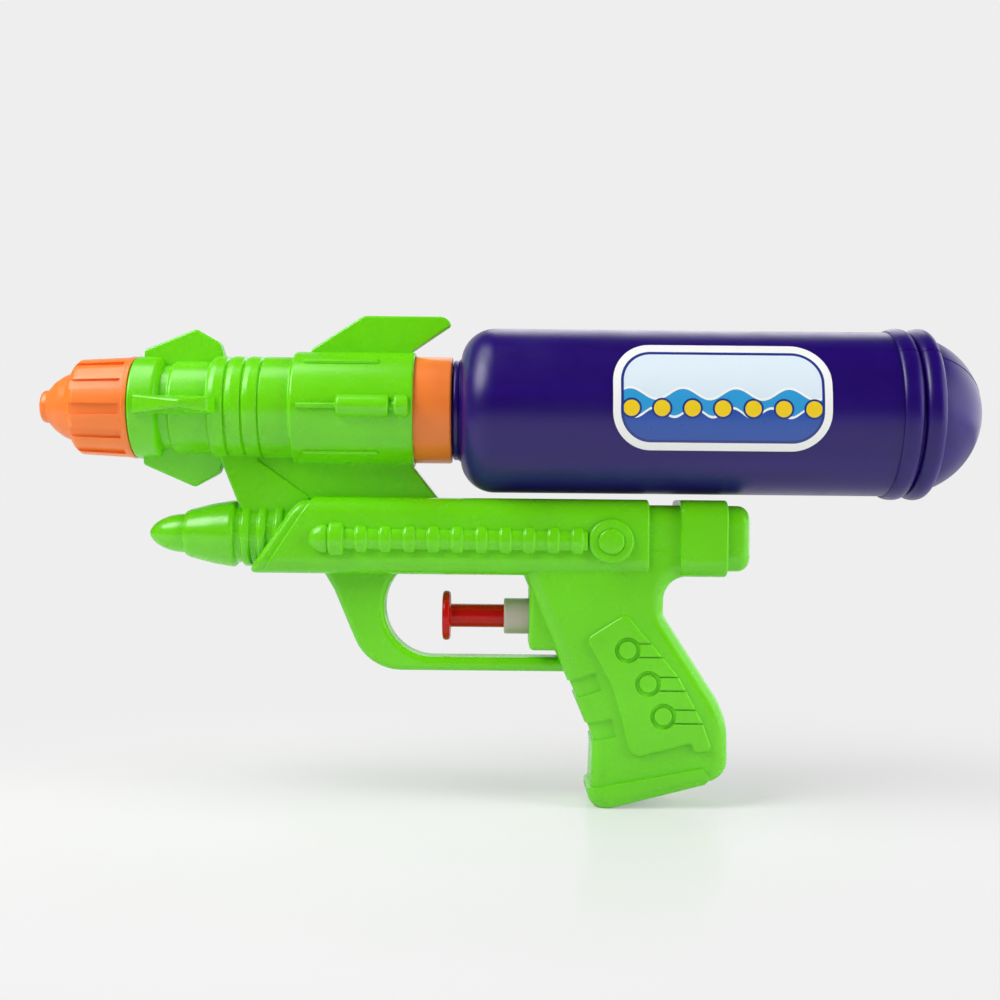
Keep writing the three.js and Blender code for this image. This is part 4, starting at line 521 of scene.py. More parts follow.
def reckon(tree, operation, first, second=0.0, third=0.0, **settings):
    """A sum of values or sockets."""
    return add(tree, "ShaderNodeMath", {0: first, 1: second, 2: third},
               operation=operation, **settings).outputs["Value"]


def distance(tree, x, y):
    """How far a point of two coordinates lies from zero."""
    point = add(tree, "ShaderNodeCombineXYZ", {"X": x, "Y": y}).outputs[0]
    return add(tree, "ShaderNodeVectorMath", {0: point}, operation="LENGTH").outputs["Value"]


def ink(code):
    """An sRGB hex colour for a colour socket."""
    return (*linear(code), 1)


# Finishes

def chosen(key):
    """A colour from the sidebar, for a colour socket."""
    return (*getattr(bpy.context.scene.squirter_colours, key), 1)


def moulded(name, key, gloss, skin_depth, inputs):
    """Injection-moulded plastic: even pigment with a faint cloudiness where the melt flowed,
    slow ripples over the walls, and handling marks that dull the gloss in places."""
    material, tree, shader, in_mm = blank(name)
    cloud = ranged(tree, noise(tree, in_mm, 26, 3), 0.3, 0.7, 0.94, 1.05)
    rubbed = noise(tree, in_mm, 5, 6, 0.7)
    waves = bumped(tree, noise(tree, in_mm, 11, 1), 0.2, 0.2)
    # The tool's fine texture is about 0.15 mm; it is drawn at 0.5 mm so that it shows.
    skin = noise(tree, in_mm, 0.5, 2)
    feed(tree, shader, {
        "Base Color": mixed(tree, 1.0, chosen(key), cloud, "MULTIPLY"),
        "Roughness": ranged(tree, rubbed, 0.35, 0.75, gloss - 0.03, gloss + 0.05),
        "Normal": bumped(tree, skin, 0.15, skin_depth, waves), **inputs})
    return material


def lime_polystyrene():
    """High-impact polystyrene from a polished mould: bright, glossy lime with pale edges."""
    return moulded("lime_moulded_polystyrene", "casing", 0.26, 0.008, {
        "IOR": 1.55, "Subsurface Weight": 0.12, "Subsurface Radius": (0.5, 1, 0.15),
        "Subsurface Scale": 0.7 * MM})


def orange_polypropylene():
    """Moulded polypropylene: softer gloss than polystyrene and a warm, waxy depth."""
    return moulded("orange_moulded_polypropylene", "trim", 0.3, 0.02, {
        "IOR": 1.49, "Subsurface Weight": 0.3, "Subsurface Radius": (1, 0.35, 0.1),
        "Subsurface Scale": 2.5 * MM})


def red_abs():
    """Moulded ABS: dense red pigment under an even gloss."""
    return moulded("red_moulded_abs", "trigger", 0.24, 0.01, {
        "IOR": 1.54, "Specular IOR Level": 0.3})


def milky_polyethylene():
    """Undyed polyethylene: greyish white that light soaks into, with a waxy skin."""
    return moulded("milky_moulded_polyethylene", "pump", 0.42, 0.03, {
        "IOR": 1.51, "Subsurface Weight": 0.4, "Subsurface Radius": (1, 0.95, 0.8),
        "Subsurface Scale": 2 * MM})


def violet_polyethylene():
    """Blow-moulded polyethylene: a satin skin with a fine pebble from the mould, and streaks
    along the tank where the soft tube of plastic was stretched."""
    material, tree, shader, in_mm = blank("violet_blown_polyethylene")
    along = add(tree, "ShaderNodeMapping", {"Vector": in_mm, "Scale": (1 / 60, 1 / 5, 1 / 5)})
    streak = ranged(tree, noise(tree, along.outputs["Vector"], 1, 4), 0.3, 0.7, 0.86, 1.12)
    handled = noise(tree, in_mm, 9, 7, 0.65)
    # The pebble is about 0.3 mm; it is drawn at 0.55 mm so that it shows.
    pebble = add(tree, "ShaderNodeTexVoronoi", {"Vector": in_mm, "Scale": 1 / 0.55})
    skin = bumped(tree, pebble.outputs["Distance"], 0.3, 0.03)
    feed(tree, shader, {
        "Base Color": mixed(tree, 1.0, chosen("tank"), streak, "MULTIPLY"),
        "Roughness": ranged(tree, handled, 0.35, 0.7, 0.29, 0.36),
        "Normal": bumped(tree, noise(tree, in_mm, 18, 1), 0.4, 0.4, skin),
        "IOR": 1.52, "Specular IOR Level": 0.45})
    return material


def clear_vinyl():
    """Extruded vinyl tube: clear with a faint cool tint, hazed in places."""
    material, tree, shader, in_mm = blank("clear_extruded_vinyl")
    feed(tree, shader, {
        "Base Color": chosen("hose"), "Transmission Weight": 0.7, "IOR": 1.53,
        "Roughness": ranged(tree, noise(tree, in_mm, 6, 3), 0, 1, 0.12, 0.32)})
    return material


def black_rubber():
    """Pressed nitrile rubber: near black and matt, with a fine dusty grain."""
    material, tree, shader, in_mm = blank("black_pressed_rubber")
    grain = noise(tree, in_mm, 0.4, 3)
    feed(tree, shader, {
        "Base Color": ink("#1C1C1E"), "Roughness": ranged(tree, grain, 0, 1, 0.6, 0.85),
        "Normal": bumped(tree, grain, 1, 0.02)})
    return material


def zinc_steel():
    """Zinc-plated steel wire and screws: a cool bright metal, clouded by the plating."""
    material, tree, shader, in_mm = blank("zinc_plated_steel")
    cloud = noise(tree, in_mm, 1.2, 4)
    feed(tree, shader, {
        "Base Color": mixed(tree, cloud, ink("#B4B8BC"), ink("#D8DADA")), "Metallic": 1,
        "Roughness": ranged(tree, cloud, 0, 1, 0.22, 0.4)})
    return material


def printed_film():
    """Printed vinyl film: flat inks under a thin clear coat, with a white die-cut border, a
    pale sky, two waves and a row of dots."""
    material, tree, shader, in_mm = blank("printed_vinyl_film")
    centred = add(tree, "ShaderNodeMapping", {
        "Vector": in_mm, "Location": (-STICKER_X, 0, -STICKER_Z)}).outputs["Vector"]
    axes = add(tree, "ShaderNodeSeparateXYZ", {"Vector": centred}).outputs
    along, up = axes["X"], axes["Z"]

    # Distance from a core rectangle gives the border and the line inside it.
    border, line = 2.2, 0.8
    beyond = []
    for value, span in ((along, STICKER_LENGTH), (up, STICKER_HEIGHT)):
        side = reckon(tree, "SUBTRACT", reckon(tree, "ABSOLUTE", value), span / 2 - STICKER_CORNER)
        beyond.append(reckon(tree, "MAXIMUM", side, 0.0))
    away = distance(tree, *beyond)
    field = reckon(tree, "LESS_THAN", away, STICKER_CORNER - border)
    inner = reckon(tree, "LESS_THAN", away, STICKER_CORNER - border - line)
    picture = mixed(tree, field, ink("#F4F5F3"), ink("#1D2F86"))
    picture = mixed(tree, inner, picture, ink("#DDEBF5"))

    def printed(value, limit, code):
        """Prints a colour inside the line, where a value is under a limit."""
        under = reckon(tree, "LESS_THAN", value, limit)
        return mixed(tree, reckon(tree, "MULTIPLY", under, inner), picture, ink(code))

    # Two waves of [height, swell, length, colour], each with a pale crest 0.7 mm thick.
    for height, swell, reach, code in ((1.2, 1.6, 15, "#2E9BD6"), (-4.2, 1.3, 11, "#1F4FA8")):
        phase = reckon(tree, "MULTIPLY", along, 2 * math.pi / reach)
        crest = reckon(tree, "MULTIPLY_ADD", reckon(tree, "SINE", phase), swell, height)
        picture = printed(up, crest, "#F4F5F3")
        picture = printed(up, reckon(tree, "SUBTRACT", crest, 0.7), code)

    # Dots 8.6 mm apart along the waves, each with a dark rim.
    cell = reckon(tree, "WRAP", along, 4.3, -4.3)
    spot = distance(tree, cell, reckon(tree, "SUBTRACT", up, -3.4))
    picture = printed(spot, 2.9, "#1D2F86")
    picture = printed(spot, 2.3, "#F2CF1C")
    feed(tree, shader, {
        "Base Color": picture, "Coat Weight": 0.4, "Coat Roughness": 0.12,
        "Roughness": ranged(tree, noise(tree, in_mm, 0.8, 3), 0, 1, 0.22, 0.4)})
    return material


MAKERS = {
    "green_casing": lime_polystyrene, "orange_trim": orange_polypropylene,
    "purple_tank": violet_polyethylene, "printed_film": printed_film, "red_trigger": red_abs,
    "natural_plastic": milky_polyethylene, "clear_vinyl": clear_vinyl,
    "seal_rubber": black_rubber, "bright_steel": zinc_steel,
}
FINISHES = {}


def finish(slot):
    """The finish of a slot, made once and then shared."""
    if slot not in FINISHES:
        FINISHES[slot] = MAKERS[slot]()
    return FINISHES[slot]


# What a user would change

def length(name, description, in_mm):
    """A length in the sidebar."""
    return bpy.props.FloatProperty(
        name=name, description=description, default=in_mm * MM, min=0, unit="LENGTH")


def factor(name, description, share):
    """A share in the sidebar."""
    return bpy.props.FloatProperty(
        name=name, description=description, default=share, min=0, soft_max=1, subtype="FACTOR")


def colour(name, description, code):
    """A colour in the sidebar, from an sRGB hex code."""
    return bpy.props.FloatVectorProperty(
        name=name, description=description, default=linear(code), min=0, max=1, subtype="COLOR")


class SquirterSizes(bpy.types.PropertyGroup):
    """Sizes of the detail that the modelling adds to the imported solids."""
    casing_edge: length("Casing edge", "Rounding of the casing's outer edges", 0.8)
    grip_edge: length("Grip edge", "Rounding along the hand grip", 4.3)
    guard_edge: length("Guard edge", "Rounding along the trigger guard", 1.95)
    ring_groove: length("Ring groove", "Depth of the rings cut in the grip panel", 0.85)
    recess_depth: length("Finger recess", "Depth of the recesses in the grip's front", 0.55)
    flute_width: length("Nozzle flute", "Width of the nozzle's recesses", 3.2)
    flute_depth: length("Flute depth", "Depth of the nozzle's recesses", 0.95)
    parting_line: length("Parting line", "Height of the mould line on the tank", 0.14)


class SquirterColours(bpy.types.PropertyGroup):
    """Colours of the finishes."""
    casing: colour("Casing", "Colour of the casing halves", "#6CD804")
    trim: colour("Trim", "Colour of the nozzle and the tank collar", "#FF8636")
    tank: colour("Tank", "Colour of the water tank", "#1F0068")
    trigger: colour("Trigger", "Colour of the trigger", "#BC0B05")
    pump: colour("Pump", "Colour of the pump's plastic", "#BFB6A8")
    hose: colour("Hose", "Tint of the hoses", "#E4ECEE")


class SquirterStage(bpy.types.PropertyGroup):
    """Floor, light and camera."""
    floor: colour("Floor", "Colour of the floor and of what lies behind it", "#EEEEEE")
    key: factor("Key light", "Share of the softboxes' full power", 0.95)
    surroundings: factor("Surroundings", "Strength of the even light all round", 0.22)
    lens: bpy.props.FloatProperty(
        name="Lens", description="Focal length of the camera", default=50, min=1, unit="CAMERA")


# Pieces of the casing

def size(key):
    """A length from the sidebar, in millimetres."""
    return round(getattr(bpy.context.scene.squirter_sizes, key) / MM, 4)


def barrel_form():
    """Front ring, groove, step, three bands and the sleeve, in one turned profile."""
    bands = repeated(RIB_START, RIB_PITCH, RIB_COUNT, [
        (0.05, RIB_FOOT, 0.1), (0.6, RIB_CREST - 0.2, 0.6), (2, RIB_CREST, 2),
        (4.5, RIB_CREST - 0.25, 0.6), (4.95, RIB_FOOT, 0.1)])
    return turned([
        (BARREL_FRONT, 0), (BARREL_FRONT, 15.3, 0.8), (-143.8, 15.3, 1.5), (-142.9, 12.8, 0.5),
        (-140.3, 12.8, 0.5), (-139.9, 14, 0.9), (-128.9, 14, 0.3), *bands,
        (-113.2, 15.5, 0.2), (-104.6, 15.5, 0.4), (-104.2, SLEEVE_RADIUS, 1),
        (BARREL_REAR, SLEEVE_RADIUS, 0.6), (BARREL_REAR, 0)], 144, BARREL_Z)


def tapered(fin, rules, edge):
    """Thins a fin towards its crest, by [radius over which, thickness share], and rounds it."""
    for above, share in rules:
        choose(fin, lambda v: v.z > above - TINY, "VERT")
        bpy.ops.transform.resize(value=(1, share, 1), center_override=(0, 0, 0))
    round_over(fin, lambda a, b: min(a.z, b.z) > FIN_ROOT, edge, 4)
    return fin


def front_fins(edge):
    """Four fins at the muzzle, turned copies of one."""
    outline = [(-149.3, 11), (-125.6, 11), (-125.6, 15.3), (-126.9, 19.5), (-134.4, 23.7),
               (-149.3, 17.2)]
    fin = tapered(plate(outline, -2.75, 2.75), [(18.2, 0.8), (23.7, 0.46)], edge)
    return around_barrel(fin, 0, 90, 180, 270)


def rear_fin(edge):
    """The tall fin on the sleeve, swept back, with a blunt tip."""
    outline = [(-99.8, 17.8), (-84.3, 28.1), (-60.6, 28.1), (-58.9, 27.2), (-57.9, 25.3),
               (-69.1, 17.8), (-69.1, 15), (-99.8, 15)]
    fin = tapered(plate(outline, -2.3, 2.3), [(25, 0.52)], edge)
    return place(fin, move=(0, 0, BARREL_Z))


def sleeve_mouldings():
    """Rod, bar, neck and block along the sleeve's near side, and a rib above and below."""
    bar = turned([
        (-102, 0), (-102, 0.85), (-90.5, 0.85), (-90.5, 3.25, 1), (-75.3, 3.25, 0.8),
        (-75.3, 1.4, 0.3), (-73.7, 1.4, 0.3), (-73.7, 3.25, 0.7), (-69.7, 3.25, 0.7), (-69.7, 0)],
        48, BARREL_Z, -SLEEVE_RADIUS)
    rib = block((-100.9, -1, 14), (-78.8, 1, SLEEVE_RADIUS + 0.8), corner=0.7, front=0.5, rear=0.5)
    return [bar, *around_barrel(rib, 90 - SLEEVE_RIB_TURN, 90 + SLEEVE_RIB_TURN)]


def web_plates(edge):
    """The plate between barrel and receiver, thicker ahead of a slanting step."""
    front = [(-126.6, 76), (-126.6, 69.7), (-120, 53.7), (-106.15, 46.2), (-99.2, 46.2),
             (-99.7, 57.5), (-114.8, 68.2), (-114.8, 76)]
    rear = [(-115.4, 76), (-115.4, 68.2), (-100.3, 57.5), (-100.3, 50), (-61.6, 50), (-61.6, 57.5),
            (-68.9, 66.6), (-68.9, 76)]
    return [plate(front, -5.5, 5.5, edge), plate(rear, -4.5, 4.5, edge)]


def receiver_form(edge):
    """The long box, its stepped front, and the stepped tail behind it."""
    half = RECEIVER_WIDTH / 2
    step, thin = half - LIP_STEP, half - TAIL_INSET
    lip = block((RECEIVER_FRONT, -step, RECEIVER_BOTTOM), (-60, step, RECEIVER_TOP - LIP_STEP),
                RECEIVER_LEAN, RECEIVER_CORNER - LIP_STEP, front=2.4)
    body = block((RECEIVER_FRONT + LIP_LENGTH, -half, RECEIVER_BOTTOM),
                 (RECEIVER_REAR, half, RECEIVER_TOP), RECEIVER_LEAN, RECEIVER_CORNER, edge, edge)
    core = block((-10, -thin, RECEIVER_BOTTOM + TAIL_INSET),
                 (TAIL_END, thin, RECEIVER_TOP - TAIL_INSET), corner=RECEIVER_CORNER, rear=3.4)
    tail = block((TAIL_NECK_END, -half, RECEIVER_BOTTOM), (TAIL_BLOCK_END, half, RECEIVER_TOP),
                 corner=RECEIVER_CORNER, front=edge, rear=edge)
    return [lip, body, core, tail]


def nose_form():
    """The bullet under the barrel: rounded tip, a small shoulder, a cone and three rings."""
    rings = repeated(NOSE_RING_START, NOSE_RING_PITCH, NOSE_RING_COUNT, [
        (2.25, 8.6, 0.3), (2.55, 9.7, 0.9), (4.75, 9.7, 0.9), (5.05, 8.6, 0.3)])
    return turned([
        *round_end(NOSE_TIP, 10.8, 5.8, 16, 1.15), (-137, 5.8), (-136.6, 6.6, 0.4),
        (-135.4, 7.2, 1.2), (-128.5, 9, 20), (-121.7, 10.1, 1.3), (-121.3, 8.6, 0.3), *rings,
        (-90, 8.6), (-90, 0)], 96, RECEIVER_Z)


def receiver_mouldings():
    """The beaded half-round bar along the receiver's near side, and the round button."""
    near = -RECEIVER_WIDTH / 2
    beads = repeated(BEAD_START, BEAD_PITCH, BEAD_COUNT, [
        (-0.1, 3, 0.2), (0.2, 3.95, 1.1), (BEAD_WIDTH - 0.2, 3.95, 1.1), (BEAD_WIDTH + 0.1, 3, 0.2)])
    bar = turned([
        *round_end(-98.6, 4.4, 4.1, 10), (-94.2, 4.1), (-93.3, 4.05, 0.3), (-93.1, 3.6, 0.1),
        (-92.9, 3.6, 0.1), (-92.7, 4.9, 1), (-88.6, 4.9, 1), (-88.3, 3, 0.2), *beads,
        (-17.4, 3), (-17.4, 0)], 56, 0)
    place(bar, move=(0, near, MOULDING_Z), scale=(1, MOULDING_FLATNESS, 1))
    button = turned([(-2, 0), (-2, 6.6), (1.5, 6.6, 0.9), (1.45, 4.1, 0.2), (1.2, 3.8, 0.1),
                     (2.2, 3.7, 0.8), (2.2, 0)], 72, 0)
    place(button, move=(BUTTON_X, near, MOULDING_Z), turn=(0, 0, -90))
    return [bar, button]


def guard_form(edge):
    """The trigger guard: a bow in front of the finger and a bar back to the grip."""
    x, z, radius = GUARD_BOW
    top = RECEIVER_BOTTOM + 4
    outline = rounded([(-93, top, 0), (-95, RECEIVER_BOTTOM, 0), (-92, 29.9, 6), (-81.8, 6.2, 15),
                       (-15.2, 6.2, 0), (-15.2, z - radius, 0)])
    bow = arc(x, z, radius, 270, GUARD_BOW_END, 28)
    return plate([*outline, *bow, (bow[-1][0], top)], -GUARD_HALF, GUARD_HALF, edge, 5)


def grip_form(outside, edge):
    """The grip's own form, or one that lies some way outside or inside it."""
    half = GRIP_WIDTH / 2 + outside
    outline = rounded(GRIP_CORNERS, 10)
    return plate(inset(outline, -outside) if outside else outline, -half, half, edge, 8)


def ring_grooves(floor):
    """Cutters of the panel's rings and of the lines that lead back from them."""
    ring = turned([(-3, 2.3), (-0.45, 2.5), (0, 2.85), (0, 3.4), (-0.45, 3.8), (-3, 4), (-3, 2.3)],
                  64, 0)
    line = block((3.2, -3, -0.22), (13, -0.15, 0.22))
    ends = [((x, floor, z + lift), (0, 0, 0)) for x, z in RING_PLACES for lift in (-2, 2)]
    return [*copies(ring, [((x, floor, z), (0, 0, 90)) for x, z in RING_PLACES]), *copies(line, ends)]


def detailed_grip():
    """The grip with its raised panel, foot plate and finger recesses."""
    near = -GRIP_WIDTH / 2
    edge = size("grip_edge")
    panel = plate(rounded(PANEL_CORNERS, 6), near - PANEL_RAISE, near + 2, PANEL_EDGE, 6)
    combine(panel, "DIFFERENCE", ring_grooves(near - PANEL_RAISE + size("ring_groove")))
    foot = combine(grip_form(PANEL_RAISE, edge), "INTERSECT", [plate(FOOT_REGION, -20, 20)])
    depth = size("recess_depth")
    core = grip_form(-depth, edge - depth)
    cutters = copies(block((-14, -20, -RECESS_HALF), (3.2, 20, RECESS_HALF)),
                     [((x, 0, z), (0, -turn, 0)) for x, z, turn in RECESSES])
    recesses = [combine(cutter, "DIFFERENCE", [copy_of(core)]) for cutter in cutters]
    bpy.data.objects.remove(core)
    grip = combine(grip_form(0, edge), "UNION", [panel, foot])
    return combine(grip, "DIFFERENCE", recesses)


def pump_block():
    """The upright housing around the pump's mouth, its outer edges rounded."""
    housing = block(HOUSING_LOW, HOUSING_HIGH)
    front, foot = HOUSING_LOW[0] + 1, HOUSING_LOW[2] + 1
    round_over(housing, lambda a, b: min(a.x, b.x) < front or min(a.z, b.z) < foot, HOUSING_EDGE, 6)
    return housing


def hollow_forms():
    """What is empty inside the casing: barrel, receiver, nose, hose ways, grip and pump room."""
    barrel = turned([
        (-155, 0), (-155, 8.9), (-149.2, 8.9), (-149.2, 10.8), (-143.2, 10.8), (-143.2, 2.85),
        (-141.2, 2.85), (-141.2, 10.8), (-126.5, 10.8), (-126.5, 13.5), (-102.2, 13.5),
        (-102.2, 15.1), (-73.45, 15.1), (-73.45, 12.85), (-71.45, 12.85), (-71.45, 16.15),
        (-60, 16.15), (-60, 0)], 64, BARREL_Z)
    inside = WALL + TAIL_INSET
    half = RECEIVER_WIDTH / 2 - inside
    room = block((RECEIVER_FRONT + 9, -half, RECEIVER_BOTTOM + inside),
                 (TAIL_END - 4, half, RECEIVER_TOP - inside), RECEIVER_LEAN * 0.7, 2)
    nose = turned([(-140, 0), (-140, 2.7), (-128, 5.4), (-121, 6.9), (-95, 6.9), (-95, 0)],
                  48, RECEIVER_Z)
    ways = [block((x - WAY_HALF, -WAY_HALF, RECEIVER_Z), (x + WAY_HALF + bend, WAY_HALF, BARREL_Z))
            for x, bend in ((INLET_WAY, HOSE_BEND / 2), (OUTLET_WAY, 0))]
    grip = plate(inset(rounded(GRIP_CORNERS, 10), WALL), WALL - GRIP_WIDTH / 2, GRIP_WIDTH / 2 - WALL)
    pump = turned([(-60, 0), (-60, 5.65), (-31.25, 5.65), (-31.25, 7.1), (-29.3, 7.1),
                   (-29.3, 5.65), (-12, 5.65), (-12, 0)], 64, PUMP_Z)
    return [barrel, room, nose, *ways, grip, pump]


class SQUIRTER_OT_casing(bpy.types.Operator):
    """Models the casing's two halves"""
    bl_idname = "squirter.casing"
    bl_label = "Casing halves"

    def execute(self, context):
        edge = size("casing_edge")
        grip = detailed_grip()
        outer = combine(barrel_form(), "UNION", [
            *front_fins(edge), rear_fin(edge), *sleeve_mouldings(), *web_plates(edge),
            *receiver_form(edge), nose_form(), *receiver_mouldings(),
            guard_form(size("guard_edge")), grip, pump_block()])
        near = block((-WIDE, -WIDE, -WIDE), (WIDE, -SEAM / 2, WIDE))
        combine(outer, "INTERSECT", [near])
        first, *others = across(POST_RADIUS, -30, 0)
        posts = combine(combine(first, "UNION", others), "INTERSECT", [copy_of(outer)])
        left = combine(outer, "DIFFERENCE", hollow_forms())
        combine(left, "UNION", [posts])
        right = place(copy_of(left), scale=(1, -1, 1))
        combine(left, "DIFFERENCE", across(PILOT_RADIUS, -7, 1))
        combine(right, "DIFFERENCE", across(CLEAR_RADIUS, -1, 12))
        combine(right, "DIFFERENCE", across(WELL_RADIUS, SCREW_SEAT, 40))
        finish_piece(left, "left_casing_half", "left_shell", "green_casing")
        finish_piece(right, "right_casing_half", "right_shell", "green_casing")
        return {"FINISHED"}


class SQUIRTER_OT_nozzle(bpy.types.Operator):
    """Models the fluted nozzle and the jet pipe inside it"""
    bl_idname = "squirter.nozzle"
    bl_label = "Nozzle"

    def execute(self, context):
        tip, rear, inside = NOZZLE_TIP, NOZZLE_REAR, NOZZLE_TIP + 1.2
        cap = turned([
            (tip, 1.8), (tip, 4.7, 1.1), (-178.1, 4.9, 0.3), (-177.8, 5.3, 0.3), (-175.9, 7.4, 3),
            (-173.4, 9.1, 4), (-170.8, 10.3, 0.8), (-169.2, 13, 1.2), (-167.8, 14.2, 1.2),
            (-153.1, 15, 0.1), (-152.9, 15.2, 0.2), (rear, 15.2, 0.3), (rear, 12.25),
            (-164.9, 12.25), (-164.9, 8.6), (-148.9, 8.6), (-148.9, 10.2, 0.4), (-147.3, 10.2, 0.4),
            (-147.3, 2.9), (inside, 2.9), (inside, 1.8), (tip, 1.8)], 144, BARREL_Z)
        half = size("flute_width") / 2
        flute = block((-180, -half, 0), (FLUTE_END, half, 6))
        choose(flute, lambda v: v.x < -179 and v.z < 1, "VERT")
        bpy.ops.transform.translate(value=(0, 0, -1.2))
        leave()
        place(flute, move=(0, 0, NOZZLE_RADIUS - size("flute_depth")))
        angles = [360 / FLUTE_COUNT * i + FLUTE_TURN for i in range(FLUTE_COUNT)]
        combine(cap, "DIFFERENCE", around_barrel(flute, *angles))
        finish_piece(cap, "fluted_nozzle", "nozzle_cap", "orange_trim", "nozzle")
        jet = turned([
            (-178.75, 0.9), (-178.75, 2.6, 0.3), (-144.85, 2.6), (-144.85, 4.2, 0.2),
            (-143.45, 4.2, 0.2), (-143.45, 2.6), (-140.95, 2.6), (-140.95, 4.2, 0.2),
            (-139.55, 4.2, 0.2), (-139.55, 2.6), (-136.55, 2.6, 0.2), (-136.55, 1.37),
            (-133.55, 1.37), (-133.55, 0.9), (-178.75, 0.9)], 40, BARREL_Z)
        finish_piece(jet, "jet_tube", "jet_pipe", "natural_plastic")
        return {"FINISHED"}


class SQUIRTER_OT_collar(bpy.types.Operator):
    """Models the threaded collar that takes the tank, and its gasket"""
    bl_idname = "squirter.collar"
    bl_label = "Tank collar"

    def execute(self, context):
        rear, floor = COLLAR_REAR, COLLAR_FLOOR
        collar = turned([
            (-78.7, 0.8), (-78.7, 1.37), (-75.7, 1.37), (-75.7, 14.6, 0.3), (-73.7, 14.6, 0.3),
            (-73.7, 12.6), (-71.2, 12.6), (-71.2, 15.9, 0.3), (rear, 15.9, 0.7), (rear, 13.7, 0.3),
            (floor, 13.7), (floor, 2.45), (-72.6, 2.45), (-72.6, 0.8), (-78.7, 0.8)], 144, BARREL_Z)
        combine(collar, "UNION", [thread(-64.75, 13.45)])
        finish_piece(collar, "threaded_collar", "tank_collar", "orange_trim")
        gasket = turned([(-69.35, 10.6), (-69.35, 12.3, 0.3), (-68.15, 12.3, 0.3), (-68.15, 10.6),
                         (-69.35, 10.6)], 72, BARREL_Z)
        finish_piece(gasket, "neck_gasket", "tank_gasket", "seal_rubber", "tank_seal")
        return {"FINISHED"}


def ring_bulge(centre, from_radius, to_radius):
    """A half-round ring of the tank's profile."""
    points = []
    for i in range(13):
        angle = math.pi * i / 12
        foot = from_radius if i < 6 else to_radius
        points.append((centre - RING_HALF * math.cos(angle),
                       foot + (RING_RADIUS - foot) * math.sin(angle) ** 0.8))
    return points


class SQUIRTER_OT_tank(bpy.types.Operator):
    """Models the blow-moulded tank with its neck, end rings and dome"""
    bl_idname = "squirter.tank"
    bl_label = "Water tank"

    def execute(self, context):
        bend = (TANK_SHOULDER + SHOULDER_ROUND, TANK_RADIUS - SHOULDER_ROUND)
        shoulder = arc(*bend, SHOULDER_ROUND, 180, 90, 20)
        first, second = TANK_RINGS
        rings = [*ring_bulge(first, TANK_RADIUS, 23.4), *ring_bulge(second, 23.4, 23)]
        start = math.degrees(math.acos((second + RING_HALF - DOME_X) / DOME_RADIUS))
        *dome, tip = arc(DOME_X, 0, DOME_RADIUS, start, 0, 28)
        tank = turned([
            (-67.9, 0), (-67.9, 12.3, 0.4), (-57.1, 12.3, 0.2), (-57.1, 14.9, 0.8),
            (-55.2, 14.9, 0.8), (TANK_SHOULDER, 13.6, 0.2), (TANK_SHOULDER, 14.3),
            *shoulder[1:], *rings, *dome, (tip[0], 0)], 192, BARREL_Z)
        crest = []  # the line fades out towards the dome's end
        for x, r in [*rings, *dome]:
            height = size("parting_line") * min(1, r / DOME_RADIUS)
            crest.append((x + height * (x - DOME_X) / DOME_RADIUS, r + height))
        line = plate([*crest, (tip[0], 0), *[(x, -r) for x, r in reversed(crest)]], -0.2, 0.2)
        place(line, move=(0, 0, BARREL_Z), turn=(PARTING_TURN, 0, 0))
        *end, tip = arc(DOME_X, 0, DOME_RADIUS - TANK_WALL, 90, 0, 20)
        space = turned([
            (-70, 0), (-70, 10.8), (TANK_SHOULDER + TANK_WALL, 10.8),
            *arc(*bend, SHOULDER_ROUND - TANK_WALL, 180, 90, 12), (first, TANK_RADIUS - TANK_WALL),
            *end[1:], (tip[0], 0)], 96, BARREL_Z)
        combine(tank, "UNION", [line, thread(-66.5, 12.55)])
        combine(tank, "DIFFERENCE", [space])
        finish_piece(tank, "water_tank", "tank", "purple_tank", "tank")
        return {"FINISHED"}


class SQUIRTER_OT_sticker(bpy.types.Operator):
    """Models the printed film on the tank's near side"""
    bl_idname = "squirter.sticker"
    bl_label = "Printed film"

    def execute(self, context):
        outline = [(STICKER_X + x * STICKER_LENGTH / 2, STICKER_Z + z * STICKER_HEIGHT / 2,
                    STICKER_CORNER) for x, z in ((-1, -1), (1, -1), (1, 1), (-1, 1))]
        film = turned([(-40, FILM_INSIDE), (-40, FILM_OUTSIDE), (70, FILM_OUTSIDE),
                       (70, FILM_INSIDE), (-40, FILM_INSIDE)], 288, BARREL_Z)
        combine(film, "INTERSECT", [plate(rounded(outline, 14), -40, 0)])
        finish_piece(film, "tank_film", "tank_sticker", "printed_film", "tank")
        return {"FINISHED"}


class SQUIRTER_OT_trigger(bpy.types.Operator):
    """Models the trigger's pad, rod and piston with its seal"""
    bl_idname = "squirter.trigger"
    bl_label = "Trigger"

    def execute(self, context):
        trigger = turned([
            (-59.8, 0), (-59.8, 7.4, 0.9), (-57.5, 7.4, 0.9), (-57.5, 3.48, 0.5),
            (-38.2, 3.48, 0.2), (-38.2, 3.8, 0.2), (-36.7, 3.8, 0.1), (-36.7, 2.6), (-35.2, 2.6),
            (-35.2, 3.8, 0.1), (-33.7, 3.8, 0.3), (-33.7, 0)], 96, PUMP_Z)
        finish_piece(trigger, "push_trigger", "trigger", "red_trigger", "trigger")
        seal = turned(arc(-35.95, 3.35, 0.5, 0, 360, 16), 64, PUMP_Z)
        finish_piece(seal, "rod_seal", "piston_seal", "seal_rubber", "trigger", angle=180)
        return {"FINISHED"}


